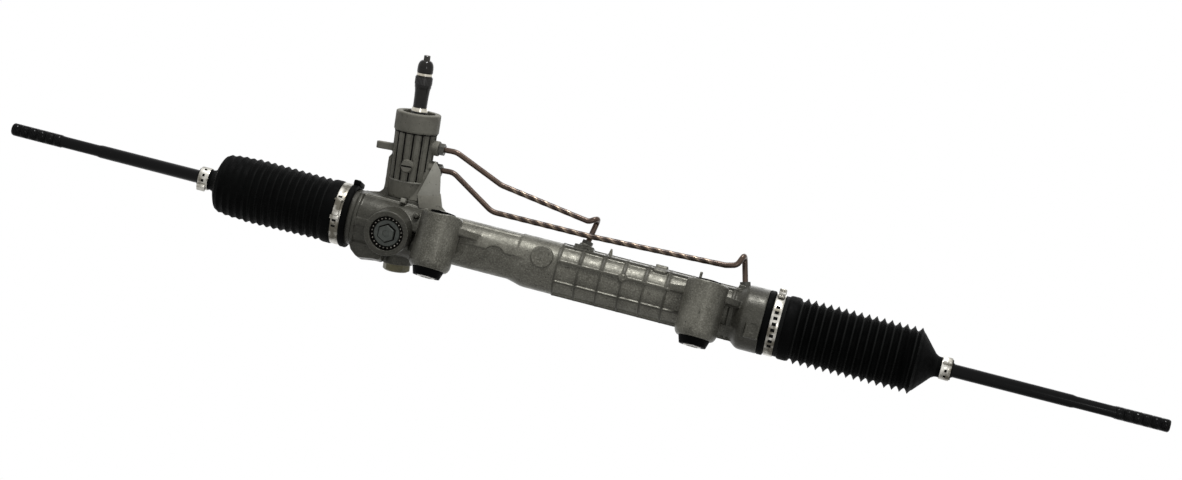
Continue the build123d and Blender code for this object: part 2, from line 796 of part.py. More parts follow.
def upper_half(radius, start, end):
    """Half-round bar on the upper side of the tube."""
    with BuildSketch(across(start)) as section:
        Circle(radius)
        with Locations((0, -1.0)):
            Rectangle(80, 40, align=(Align.CENTER, Align.MAX), mode=Mode.SUBTRACT)
    extrude(section.sketch, amount=end - start, dir=(1, 0, 0))


with BuildPart() as saddle:
    upper_half(saddle_radius, 0, thick_tube_start + 2.0)
    relief = Plane(origin=(relief_x, rack_y, rack_z - 7.0), x_dir=(1, 0, 0), z_dir=(0, -1, 0))
    rod(relief, relief_radius, 10.0, 32.0, mode=Mode.SUBTRACT)

with BuildPart() as rack_housing:
    with BuildSketch(rack_profile) as outline:
        with BuildLine():
            Polyline(
                (flange_flare_start, tube_radius),
                (thick_tube_start + 46.5, tube_radius),
                (thick_tube_start + 46.0, thick_tube_radius),
                (thick_tube_start + 14.0, thick_tube_radius),
                (thick_tube_start + 10.0, thick_tube_radius - 0.4),
                (thick_tube_start - 5.0, lower_tube_radius),
                (-8.0, lower_tube_radius),
                (-20.0, left_body_radius),
                (left_stop_x + 4.0, left_body_radius),
                (left_stop_x + 3.0, left_body_radius + 1.8),
                (left_stop_x, left_body_radius + 1.8),
                (left_stop_x, boot_seat_radius),
                (left_mouth + 1.0, boot_seat_radius),
                (left_mouth, boot_seat_radius - 1.0),
                (left_mouth, 0),
                (right_mouth, 0),
                (right_mouth, boot_seat_radius - 1.0),
                (right_mouth - 1.0, boot_seat_radius),
                (right_stop_x + 2.0, boot_seat_radius),
                (right_stop_x + 2.0, flange_radius),
                (flange_start, flange_radius),
            )
            Bezier(
                (flange_start, flange_radius),
                (flange_start - 8.0, flange_radius),
                (flange_flare_start + 9.0, tube_radius),
                (flange_flare_start, tube_radius),
            )
        make_face()
    revolve(outline.sketch, axis=rack_axis)
    # Upper half of the tube, from the mount to the thick part
    add(saddle.part)
    upper_half(thick_tube_radius, thick_tube_start + 2.0, thick_tube_start + 15.0)
    # Ribs round and along the tube
    for column in range(rib_columns + 1):
        rod(
            across(rib_start + column * rib_pitch - rib_width / 2),
            tube_radius + ring_rib_height,
            0,
            rib_width,
        )
    for index in range(long_ribs):
        angle = long_rib_angle + index * 360 / long_ribs
        long_bar(angle, tube_radius - 2, tube_radius + long_rib_height, rib_width, rib_start, flange_start)
    # Raised lines on the pinion section and on the saddle
    long_bar(56.0, left_body_radius - 2, left_body_radius + 0.8, 2.0, left_stop_x + 2.0, -20.0)
    long_bar(-13.0, left_body_radius - 2, left_body_radius + 0.8, 7.0, left_stop_x + 2.0, pinion_x)
    long_bar(55.0, saddle_radius - 2, saddle_radius + 0.9, 1.8, 0, thick_tube_start + 2.0)
    # Pocket between the yoke boss and the first mount boss
    with Locations((-21.5, rack_y - 34.0, rack_z - 15.0)):
        Box(17.0, 31.0, 24.0, mode=Mode.SUBTRACT)
    # Mount bosses
    for bolt_x in (0.0, mount_spacing):
        with BuildSketch(Plane(origin=(bolt_x, 0, rack_z), x_dir=(1, 0, 0), z_dir=(0, -1, 0))) as boss:
            with BuildLine():
                side = mount_boss_bottom + mount_rim_fillet
                Polyline((mount_rim_radius, mount_boss_bottom), (0, mount_boss_bottom), (0, mount_boss_top))
                Polyline(
                    (0, mount_boss_top),
                    (mount_boss_radius - 1.2, mount_boss_top),
                    (mount_boss_radius, mount_boss_top - 1.2),
                    (mount_boss_radius, side),
                )
                RadiusArc((mount_boss_radius, side), (mount_rim_radius, mount_boss_bottom), 9.0)
            make_face()
        revolve(boss.sketch, axis=Axis((bolt_x, 0, rack_z), (0, 0, 1)))
        with Locations((bolt_x, rack_y / 2, rack_z - 2.0)):
            Box(32.0, rack_y, 36.0)
    mount_gusset(0.0, 1)
    mount_gusset(mount_spacing, 1)
    mount_gusset(mount_spacing, -1)
    # Yoke boss, lower pinion boss, tower base and the cast lug beside them
    rod(yoke_plane, yoke_boss_radius, 0, yoke_boss_face)
    rod(pinion_plane, lower_boss_radius, lower_boss_end, 0)
    rod(pinion_plane, tower_base_radius, 0, tower_joint)
    with BuildSketch(tower(tower_joint - 14.0)) as flange:
        Circle(tower_base_radius)
        for angle in lobe_angles:
            with Locations(lobe_spot(angle)):
                Circle(lobe_radius)
        make_hull()
    extrude(flange.sketch, amount=14.0, dir=pinion_dir)
    with BuildSketch(gusset_plane) as gusset:
        with BuildLine():
            Polyline(
                (pinion_x - 8.0, rack_z),
                (-8.0, rack_z),
                (-6.0, rack_z + 25.5),
                (pinion_x + gusset_foot + 3.0, rack_z + 28.5),
                (pinion_x + gusset_foot, rack_z + tower_joint + 12.0),
                (pinion_x - 8.0, rack_z + tower_joint + 12.0),
                close=True,
            )
        make_face()
    extrude(gusset.sketch, amount=gusset_depth, dir=(0, 1, 0))
    with BuildSketch(tower(tower_joint)) as joint_face:
        Rectangle(160, 160)
    extrude(joint_face.sketch, amount=40, dir=pinion_dir, mode=Mode.SUBTRACT)
    # Cast foot below the pinion section, and the lug above the yoke
    with BuildSketch(rack_profile.offset(12.0)) as foot:
        with BuildLine():
            Polyline(
                (left_stop_x + 0.1, -10.0),
                (left_stop_x + 0.1, -30.5),
                (left_stop_x + 3.0, -35.5),
                (left_stop_x + 9.5, -40.6),
                (left_stop_x + 13.0, -41.8),
                (left_stop_x + 28.0, -39.5),
                (left_stop_x + 35.0, -39.4),
                (left_stop_x + 37.0, -37.5),
                (left_stop_x + 37.0, -10.0),
                close=True,
            )
        make_face()
    extrude(foot.sketch, amount=-20.0)
    with Locations((-47.6, rack_y - 15.5, rack_z + 26.8)):
        Box(5.4, 10.0, 5.6)
    # Plug pad on the front, port pads, and small cast points
    front = Plane(origin=(thick_tube_start + 28.7, rack_y, rack_z + 5.2), x_dir=(1, 0, 0), z_dir=(0, -1, 0))
    rod(front, 11.4, 20.0, 29.6)
    rod(front, 6.4, 28.4, 29.6, mode=Mode.SUBTRACT)
    rod(front, 5.2, 28.0, 29.3)
    with Locations((port_1_x - 1.0, rack_y + 1.0, rack_z + 26.0)):
        Box(21.0, 17.0, 9.0)
    with Locations((port_2_x + 1.0, rack_y, rack_z + 27.0)):
        Box(14.0, 17.0, 8.6)
    for port in ports:
        rod(port_plane(port), 7.4, -10.0, 0)
    with Locations((176.0, rack_y, rack_z + 27.0)):
        Cone(4.5, 1.0, 16.0)
    with Locations((273.6, rack_y, rack_z + 30.0)):
        Cylinder(1.6, 10.0)
    with Locations((232.8, rack_y - 7.0, rack_z + 26.0)):
        Box(13.0, 8.0, 8.0)
    rod(Plane(origin=(-29.0, rack_y, rack_z + 14.0), x_dir=(1, 0, 0), z_dir=(0, -1, 0)), 2.8, 15.0, 31.0)
    dimple = Plane(origin=(right_stop_x - 6.0, rack_y, rack_z - 13.0), x_dir=(1, 0, 0), z_dir=(0, -1, 0))
    with Locations(dimple.offset(28.0)):
        Box(15.0, 21.0, 12.0)
    rod(dimple, 5.5, 33.2, 34.2, mode=Mode.SUBTRACT)
    # Rack bore, socket mouths and cylinder
    on_rack(
        [
            (left_mouth, 0),
            (left_mouth, cylinder_radius),
            (left_stop_x, cylinder_radius),
            (left_stop_x, rack_radius + bar_clearance),
            (cylinder_start, rack_radius + bar_clearance),
            (cylinder_start, cylinder_radius),
            (right_mouth, cylinder_radius),
            (right_mouth, 0),
        ],
        mode=Mode.SUBTRACT,
    )
    # Pinion cavity and its seats
    on_pinion(
        [
            (0, lower_boss_end),
            (cap_thread_radius, lower_boss_end),
            (cap_thread_radius, nut_top - 2.0),
            (ball_bearing_radius, nut_top - 2.0),
            (ball_bearing_radius, ball_bearing_top),
            (cavity_radius, ball_bearing_top),
            (cavity_radius, needle_bottom),
            (needle_radius, needle_bottom),
            (needle_radius, spigot_recess),
            (spigot_radius, spigot_recess),
            (spigot_radius, tower_joint),
            (0, tower_joint),
        ],
        mode=Mode.SUBTRACT,
    )
    for angle in lobe_angles:
        with Locations(tower(tower_joint - 12.0)):
            with Locations(lobe_spot(angle)):
                Cylinder(screw_radius, 12.0, align=(Align.CENTER, Align.CENTER, Align.MIN), mode=Mode.SUBTRACT)
    # Yoke bore and plug thread
    rod(yoke_plane, yoke_bore_radius, 0, yoke_boss_face, mode=Mode.SUBTRACT)
    rod(yoke_plane, plug_thread_radius, plug_start, yoke_boss_face, mode=Mode.SUBTRACT)
    # Mount bores and transfer ports
    for bolt_x in (0.0, mount_spacing):
        rod(mount_plane(bolt_x), mount_bore_radius, mount_boss_bottom, mount_boss_top, mode=Mode.SUBTRACT)
    for port in ports:
        rod(port_plane(port), 8.2, 0, 12.0, mode=Mode.SUBTRACT)
        rod(port_plane(port), pipe_radius + 1.6, -6.0, 0, mode=Mode.SUBTRACT)
        rod(port_plane(port), port_hole_radius, -20.0, 0, mode=Mode.SUBTRACT)
save(rack_housing, "rack_housing")


# ---------------------------------------------------------------- yoke
with BuildPart() as yoke:
    rod(yoke_plane, yoke_bore_radius - running, yoke_inner, yoke_outer)
    rod(across(yoke_centre.X - 30.0), rack_radius + running, 0, 60.0, mode=Mode.SUBTRACT)
    rod(yoke_plane, spring_pocket_radius, yoke_outer - spring_pocket_depth, yoke_outer, mode=Mode.SUBTRACT)
    with BuildSketch(yoke_plane.offset(yoke_outer - 5.0)) as groove:
        Circle(yoke_bore_radius + 1)
        Circle(yoke_bore_radius - 1.9, mode=Mode.SUBTRACT)
    extrude(groove.sketch, amount=2.4, dir=-normal_dir, mode=Mode.SUBTRACT)
save(yoke, "yoke")

with BuildPart() as yoke_ring:
    with BuildSketch(yoke_plane.offset(yoke_outer - 5.0)) as section:
        Circle(yoke_bore_radius - running / 2)
        Circle(yoke_bore_radius - 1.9, mode=Mode.SUBTRACT)
    extrude(section.sketch, amount=2.4, dir=-normal_dir)
save(yoke_ring, "yoke_o_ring")

with BuildPart() as yoke_plug:
    rod(yoke_plane, plug_thread_radius, plug_start, plug_face)
    prism(yoke_plane, plug_hex, plug_face, yoke_boss_face + 0.6)
    rod(yoke_plane, 4.0, yoke_boss_face - 0.2, yoke_boss_face + 0.6, mode=Mode.SUBTRACT)
    rod(yoke_plane, spring_pocket_radius, plug_start, plug_start + 2.0, mode=Mode.SUBTRACT)
    with Locations(yoke_plane.offset(plug_face)):
        with PolarLocations(plug_thread_radius - 1.1, plug_notches):
            Cylinder(plug_notch_radius, 8.0, mode=Mode.SUBTRACT)
save(yoke_plug, "yoke_plug")

spring_start = yoke_outer - spring_pocket_depth + spring_wire
spring_end = plug_start + 2.0 - spring_wire
with BuildPart() as yoke_spring:
    with BuildLine() as coil:
        Helix(
            (spring_end - spring_start) / spring_turns,
            spring_end - spring_start,
            spring_radius,
            center=tuple(yoke_plane.offset(spring_start).origin),
            direction=tuple(-normal_dir),
        )
    with BuildSketch(Plane(origin=coil.line @ 0, z_dir=coil.line % 0)):
        Circle(spring_wire)
    sweep(path=coil.line)
save(yoke_spring, "yoke_spring")


# ---------------------------------------------------------------- rack bar, piston and cylinder ends
tooth_pitch = pi * tooth_module
mesh_plane = Plane(origin=crossing, x_dir=across_dir, z_dir=pinion_dir)
first_space = -int((travel_right + pinion_face / 2) / tooth_pitch)
last_space = int((travel_left + pinion_face / 2) / tooth_pitch)
tip_height = pinion_offset - rack_tip_line
root_height = pinion_offset - rack_root_line
reference_height = pinion_offset - reference_line


def space_half_width(height):
    """Half width of a rack tooth space at a height above the rack axis."""
    return tooth_pitch / 4 + (height - reference_height) * tan(pressure_angle)


with BuildPart() as rack_bar:
    rod(across(bar_left_x), rack_radius, 0, bar_right_x - bar_left_x)
    chamfer(rack_bar.edges().filter_by(GeomType.CIRCLE), 1.0)
    # Flat on which the teeth stand, then the spaces between them
    with BuildSketch(mesh_plane) as flat:
        with Locations(((first_space + last_space) / 2 * tooth_pitch, tip_height)):
            Rectangle(
                (last_space - first_space + 1.6) * tooth_pitch,
                10.0,
                align=(Align.CENTER, Align.MIN),
            )
    extrude(flat.sketch, amount=rack_radius * 2, both=True, dir=pinion_dir, mode=Mode.SUBTRACT)
    with BuildSketch(mesh_plane) as spaces:
        for index in range(first_space, last_space + 1):
            centre = index * tooth_pitch
            with BuildLine():
                Polyline(
                    (centre - space_half_width(root_height), root_height),
                    (centre + space_half_width(root_height), root_height),
                    (centre + space_half_width(tip_height + 1), tip_height + 1),
                    (centre - space_half_width(tip_height + 1), tip_height + 1),
                    close=True,
                )
            make_face()
    extrude(spaces.sketch, amount=rack_radius * 2, both=True, dir=pinion_dir, mode=Mode.SUBTRACT)
    # Tapped ends
    for end, hand in ((bar_left_x, 1), (bar_right_x, -1)):
        start = end if hand > 0 else end - socket_stud_length - 2.0
        rod(across(start), socket_stud_radius, 0, socket_stud_length + 2.0, mode=Mode.SUBTRACT)
    # Groove that holds the piston
    for offset in (-piston_width / 2 - 1.5, piston_width / 2):
        with BuildSketch(across(piston_x + offset)) as groove:
            Circle(rack_radius + 1)
            Circle(rack_radius - 1.0, mode=Mode.SUBTRACT)
        extrude(groove.sketch, amount=1.5, dir=(1, 0, 0), mode=Mode.SUBTRACT)
save(rack_bar, "rack_bar")

with BuildPart() as piston:
    start = piston_x - piston_width / 2
    ring(across(start), rack_radius, cylinder_radius - 0.4, 0, piston_width)
    with BuildSketch(across(piston_x - piston_groove / 2)) as groove:
        Circle(cylinder_radius + 1)
        Circle(cylinder_radius - 0.4 - ring_groove_depth, mode=Mode.SUBTRACT)
    extrude(groove.sketch, amount=piston_groove, dir=(1, 0, 0), mode=Mode.SUBTRACT)
save(piston, "rack_piston")

with BuildPart() as piston_seal:
    ring(
        across(piston_x - piston_groove / 2),
        cylinder_radius - 0.4 - ring_groove_depth,
        cylinder_radius - running,
        0,
        piston_groove,
    )
save(piston_seal, "piston_seal")

with BuildPart() as piston_rings:
    for offset in (-piston_width / 2 - 1.5, piston_width / 2):
        ring(across(piston_x + offset), rack_radius - 1.0, rack_radius + 1.6, 0, 1.5)
save(piston_rings, "piston_rings")

with BuildPart() as inner_seal:
    ring(across(cylinder_start), rack_radius + running, cylinder_radius, 0, inner_seal_width)
    with BuildSketch(across(cylinder_start + inner_seal_width - 4.0)) as lip_gap:
        Circle(cylinder_radius - 3.0)
        Circle(rack_radius + 2.0, mode=Mode.SUBTRACT)
    extrude(lip_gap.sketch, amount=4.0, dir=(1, 0, 0), mode=Mode.SUBTRACT)
save(inner_seal, "inner_rack_seal")

retainer_start = right_stop_x - retainer_width
outer_seal_start = retainer_start - outer_seal_width
bushing_start = outer_seal_start - bushing_width
with BuildPart() as bushing:
    ring(across(bushing_start), rack_radius + running, cylinder_radius, 0, bushing_width)
save(bushing, "end_bushing")

with BuildPart() as outer_seal:
    ring(across(outer_seal_start), rack_radius + running, cylinder_radius, 0, outer_seal_width)
    with BuildSketch(across(outer_seal_start)) as lip_gap:
        Circle(cylinder_radius - 2.5)
        Circle(rack_radius + 1.8, mode=Mode.SUBTRACT)
    extrude(lip_gap.sketch, amount=3.0, dir=(1, 0, 0), mode=Mode.SUBTRACT)
save(outer_seal, "outer_rack_seal")

with BuildPart() as retainer:
    ring(across(retainer_start), rack_radius + bar_clearance, cylinder_radius, 0, retainer_width)
    with Locations(across(right_stop_x)):
        with PolarLocations(cylinder_radius - 1.5, 4):
            Box(3.2, 4.0, 4.0, mode=Mode.SUBTRACT)
save(retainer, "end_retainer")


# ---------------------------------------------------------------- inner joints, tie rods and bellows
def side_plane(x, hand):
    """Section plane that faces outwards on one side."""
    return Plane(origin=(x, rack_y, rack_z), x_dir=(0, hand, 0), z_dir=(hand, 0, 0))


def side_turn(ball_x, hand, rings, mode=Mode.ADD):
    """Turn an outline of (distance outwards from the ball, radius) points about the rack axis."""
    on_rack([(ball_x + hand * distance, radius) for distance, radius in rings], mode)


def bellows(start_x, end_x, peaks, depth, wall):
    """Outer and inner zigzag of one bellows, from one station to the other."""
    pitch = (end_x - start_x) / len(peaks)
    outer = []
    for index, peak in enumerate(peaks):
        outer.append((start_x + (index + 0.5) * pitch, peak))
        if index < len(peaks) - 1:
            outer.append((start_x + (index + 1) * pitch, min(peak, peaks[index + 1]) - depth))
    inner = [(x, radius - wall) for x, radius in reversed(outer)]
    return outer, inner


sides = (
    ("left", -1, left_ball_x, left_stop_x, left_rod_length, left_boot_peaks, left_boot_depth),
    ("right", 1, right_ball_x, right_stop_x + 2.0, right_rod_length, right_boot_peaks, right_boot_depth),
)
for side, hand, ball_x, lip_x, rod_length, peaks, depth in sides:
    outward = side_plane(ball_x, hand)
    inner_face = -ball_to_socket_face
    with BuildPart() as socket:
        side_turn(
            ball_x,
            hand,
            [
                (inner_face, 0),
                (inner_face, socket_radius - 1.5),
                (inner_face + 1.5, socket_radius),
                (socket_lip - 5.0, socket_radius),
                (socket_lip, socket_radius - 2.5),
                (socket_lip, 13.2),
                (7.0, 10.9),
                (-1.0, ball_radius + ball_seat_wall),
                (-15.5, ball_radius + ball_seat_wall),
                (-15.5, 0),
            ],
        )
        rod(outward, socket_stud_radius, inner_face - lock_washer_thickness - socket_stud_length, inner_face)
        # Two flats for a spanner
        with BuildSketch(outward.offset(inner_face)) as flats:
            Rectangle(50, 50)
            Rectangle(50, 2 * socket_radius - 4.0, mode=Mode.SUBTRACT)
        extrude(flats.sketch, amount=9.0, dir=(hand, 0, 0), mode=Mode.SUBTRACT)
        with Locations(outward):
            Sphere(ball_radius + ball_seat_wall, mode=Mode.SUBTRACT)
    save(socket, f"{side}_inner_socket")

    with BuildPart() as washer:
        ring(
            outward,
            socket_stud_radius,
            socket_radius - 1.0,
            inner_face - lock_washer_thickness,
            inner_face,
        )
    save(washer, f"{side}_lock_washer")

    with BuildPart() as ball_seat:
        with Locations(outward):
            Sphere(ball_radius + ball_seat_wall)
        rod(outward, 30.0, -0.5, 30.0, mode=Mode.SUBTRACT)
        with Locations(outward):
            Sphere(ball_radius + running, mode=Mode.SUBTRACT)
        rod(outward, 6.0, -30.0, 0, mode=Mode.SUBTRACT)
    save(ball_seat, f"{side}_ball_seat")

    clamp_half = small_clamp_width / 2
    with BuildPart() as tie_rod:
        with Locations(outward):
            Sphere(ball_radius)
        side_turn(
            ball_x,
            hand,
            [
                (0, 0),
                (0, tie_rod_neck),
                (20.0, tie_rod_neck),
                (26.0, tie_rod_radius),
                (boot_clamp_distance - clamp_half - 4.0, tie_rod_radius),
                (boot_clamp_distance - clamp_half - 2.0, boot_seat_on_rod),
                (boot_clamp_distance + clamp_half + 1.0, boot_seat_on_rod),
                (boot_clamp_distance + clamp_half + 3.0, tie_rod_radius),
                (rod_length - thread_length - 44.0, tie_rod_radius),
                (rod_length - thread_length - 40.0, thin_shank_radius),
                (rod_length - thread_length, thin_shank_radius),
                (rod_length - thread_length, thread_radius),
                (rod_length - 1.2, thread_radius),
                (rod_length, thread_radius - 1.2),
                (rod_length, 0),
            ],
        )
    save(tie_rod, f"{side}_tie_rod")

    # Bellows: lip on the housing, band seat, zigzag, dome and neck
    neck_inner = boot_seat_on_rod + sliding
    neck_outer = neck_inner + boot_neck_wall
    clamp_x = ball_x + hand * boot_clamp_distance
    band_x = lip_x + hand * (boot_lip_width + large_clamp_width / 2 + 1.0)
    zig_start = lip_x + hand * (boot_lip_width + large_clamp_width + 16.0)
    neck_end = clamp_x + hand * (clamp_half + 1.0)
    dome_end = clamp_x - hand * (clamp_half + (8.0 if hand > 0 else 6.5))
    zig_end = dome_end - hand * (15.0 if hand > 0 else 7.2)
    zig_outer, zig_inner = bellows(zig_start, zig_end, peaks, depth, boot_wall)
    body_wall = boot_seat_radius + boot_wall
    shoulder_x = zig_end + hand * (4.0 if hand > 0 else 2.4)
    shoulder = peaks[-1] * (0.80 if hand > 0 else 0.84)
    with BuildPart() as boot:
        on_rack(
            [
                (lip_x, boot_seat_radius),
                (lip_x, boot_seat_radius + 4.2),
                (lip_x + hand * boot_lip_width, boot_seat_radius + 4.2),
                (lip_x + hand * (boot_lip_width + 0.6), body_wall),
                (zig_start, body_wall),
            ]
            + zig_outer
            + [
                (shoulder_x, shoulder),
                (dome_end, neck_outer + 1.5),
                (clamp_x - hand * (clamp_half + 1.5), neck_outer),
                (neck_end, neck_outer),
                (neck_end, neck_inner),
                (dome_end, neck_inner),
                (shoulder_x, shoulder - boot_wall - 1.0),
            ]
            + zig_inner
            + [
                (zig_start, body_wall - boot_wall),
                (lip_x + hand * (boot_lip_width + large_clamp_width + 2.0), boot_seat_radius),
            ]
        )
        if hand < 0:
            with Locations((lip_x - 1.2, rack_y, rack_z + left_body_radius + 4.5)):
                Box(16.4, 14.0, 4.8)
    save(boot, f"{side}_boot")

    with BuildPart() as large_clamp:
        band = side_plane(band_x, hand)
        half = large_clamp_width / 2
        ring(band, body_wall + sliding, body_wall + sliding + clamp_thickness, -half, half)
    save(large_clamp, f"{side}_large_clamp")

    with BuildPart() as small_clamp:
        clip = side_plane(clamp_x, hand)
        ring(clip, neck_outer + sliding, neck_outer + sliding + clamp_thickness, -clamp_half, clamp_half)
    save(small_clamp, f"{side}_small_clamp")


# ---------------------------------------------------------------- transfer pipes
def valve_port(height):
    """Where a pipe enters the valve housing, and the way it points."""
    direction = across_dir * cos(radians(port_angle)) + normal_dir * sin(radians(port_angle))
    return pinion_centre + pinion_dir * height + direction * (port_boss_reach - 5.0), direction


def over_rack(x, y, z):
    """Point given from the rack axis."""
    return (x, rack_y + y, rack_z + z)


def port_foot(port):
    plane = port_plane(port)
    return plane.origin - plane.z_dir * 5.0


upper_start, upper_out = valve_port(upper_port_height)
lower_start, lower_out = valve_port(lower_port_height)
pipes = (
    (
        "short_transfer_pipe",
        upper_start,
        upper_out,
        [over_rack(46.5, -10.0, 70.0), over_rack(146.0, -9.5, 55.6), over_rack(153.8, -9.0, 60.8),
         port_1_hook],
        ports[0],
        [20.0, 24.0, 7.0, 5.0, 6.0],
    ),
    (
        "long_transfer_pipe",
        lower_start,
        lower_out,
        [over_rack(44.0, -10.0, 40.2), over_rack(150.0, -12.0, 40.4), over_rack(297.0, -14.0, 46.0),
         over_rack(308.5, -14.0, 49.0), over_rack(312.8, -13.0, 60.6), port_2_hook],
        ports[1],
        [16.0, 20.0, 60.0, 12.0, 8.0, 5.0, 6.0],
    ),
)
for name, start, out, points, port, bends in pipes:
    first_bend = start + out * 24.0
    with BuildPart() as pipe:
        with BuildLine() as route:
            FilletPolyline(start, first_bend, *points, port_foot(port), radius=bends)
        with BuildSketch(Plane(origin=route.line @ 0, z_dir=route.line % 0)):
            Circle(pipe_radius)
            Circle(pipe_bore, mode=Mode.SUBTRACT)
        sweep(path=route.line)
    save(pipe, name)

with BuildPart() as union_nuts:
    for height in (upper_port_height, lower_port_height):
        start, out = valve_port(height)
        base = Plane(origin=start + out * 5.0, x_dir=pinion_dir, z_dir=out)
        prism(base, union_hex, 0, union_height)
        rod(base, pipe_radius + 1.6, -6.0, 0)
        rod(base, pipe_radius, -6.0, union_height, mode=Mode.SUBTRACT)
    for port in ports:
        base = port_plane(port)
        prism(base, union_hex, 0, union_height - 2.0)
        rod(base, pipe_radius + 1.6, -6.0, 0)
        rod(base, pipe_radius, -6.0, union_height, mode=Mode.SUBTRACT)
save(union_nuts, "pipe_union_nuts")
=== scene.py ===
"""Power steering rack: castings, bellows, clamps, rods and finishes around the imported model.

Sizes are millimetres, which MM turns into metres, and angles are degrees unless a name says
otherwise.  The rack runs along X, Z is up along the mount bolts, and the origin is the middle of
the left mount's bolt sleeve.
"""
import json
import math

import bmesh
import bpy
from mathutils import Matrix, Vector


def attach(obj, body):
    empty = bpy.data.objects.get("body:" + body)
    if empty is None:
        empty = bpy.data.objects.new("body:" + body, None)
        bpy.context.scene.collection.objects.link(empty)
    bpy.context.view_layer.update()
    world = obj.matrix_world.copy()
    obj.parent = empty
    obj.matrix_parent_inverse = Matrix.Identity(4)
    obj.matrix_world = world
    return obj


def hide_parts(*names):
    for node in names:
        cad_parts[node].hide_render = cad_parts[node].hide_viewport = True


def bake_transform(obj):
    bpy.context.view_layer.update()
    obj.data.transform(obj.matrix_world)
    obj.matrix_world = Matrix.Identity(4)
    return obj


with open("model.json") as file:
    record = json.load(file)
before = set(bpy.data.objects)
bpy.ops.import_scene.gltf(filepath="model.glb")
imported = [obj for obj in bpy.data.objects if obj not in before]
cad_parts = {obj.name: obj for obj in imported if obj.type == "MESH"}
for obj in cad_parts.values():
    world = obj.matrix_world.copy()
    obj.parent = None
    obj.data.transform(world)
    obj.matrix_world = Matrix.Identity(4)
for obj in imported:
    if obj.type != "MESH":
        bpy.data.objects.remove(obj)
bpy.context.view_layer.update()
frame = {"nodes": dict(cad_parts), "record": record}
NODES = frame["nodes"]

MM = 0.001
RACK_Y, RACK_Z = 40.0, 11.8                 # rack axis
HAND = {"left": -1.0, "right": 1.0}         # the way each end points along the rack
BALL_X = {"left": -170.3, "right": 447.3}   # centres of the inner balls
FLUTES = 14                                 # round the tower
FLUTE_TURN = 7.0 + 180.0 / FLUTES           # first flute root, round the pinion axis
FLOOR_Z, FLOOR_SIZE = -0.62, 0.85           # metres
TOWER_LEAN, TOWER_SKEW = math.radians(17.0), math.radians(4.0)     # radians
PINION_DIR = Vector((
    -math.sin(TOWER_SKEW),
    -math.cos(TOWER_SKEW) * math.sin(TOWER_LEAN),
    math.cos(TOWER_SKEW) * math.cos(TOWER_LEAN),
))
NORMAL_DIR = Vector((0.0, math.cos(TOWER_LEAN), math.sin(TOWER_LEAN)))
ACROSS_DIR = NORMAL_DIR.cross(PINION_DIR)
CROSSING = Vector((-49.0, RACK_Y, RACK_Z))
PINION_CENTRE = CROSSING + NORMAL_DIR * 16.0
YOKE_CENTRE = CROSSING + Vector((-3.0, 0.0, 0.0))


# ------------------------------------------------------------------ node trees for finishes
def darker(colour, share):
    """A colour with only a share of its light."""
    return tuple(c * share for c in colour)


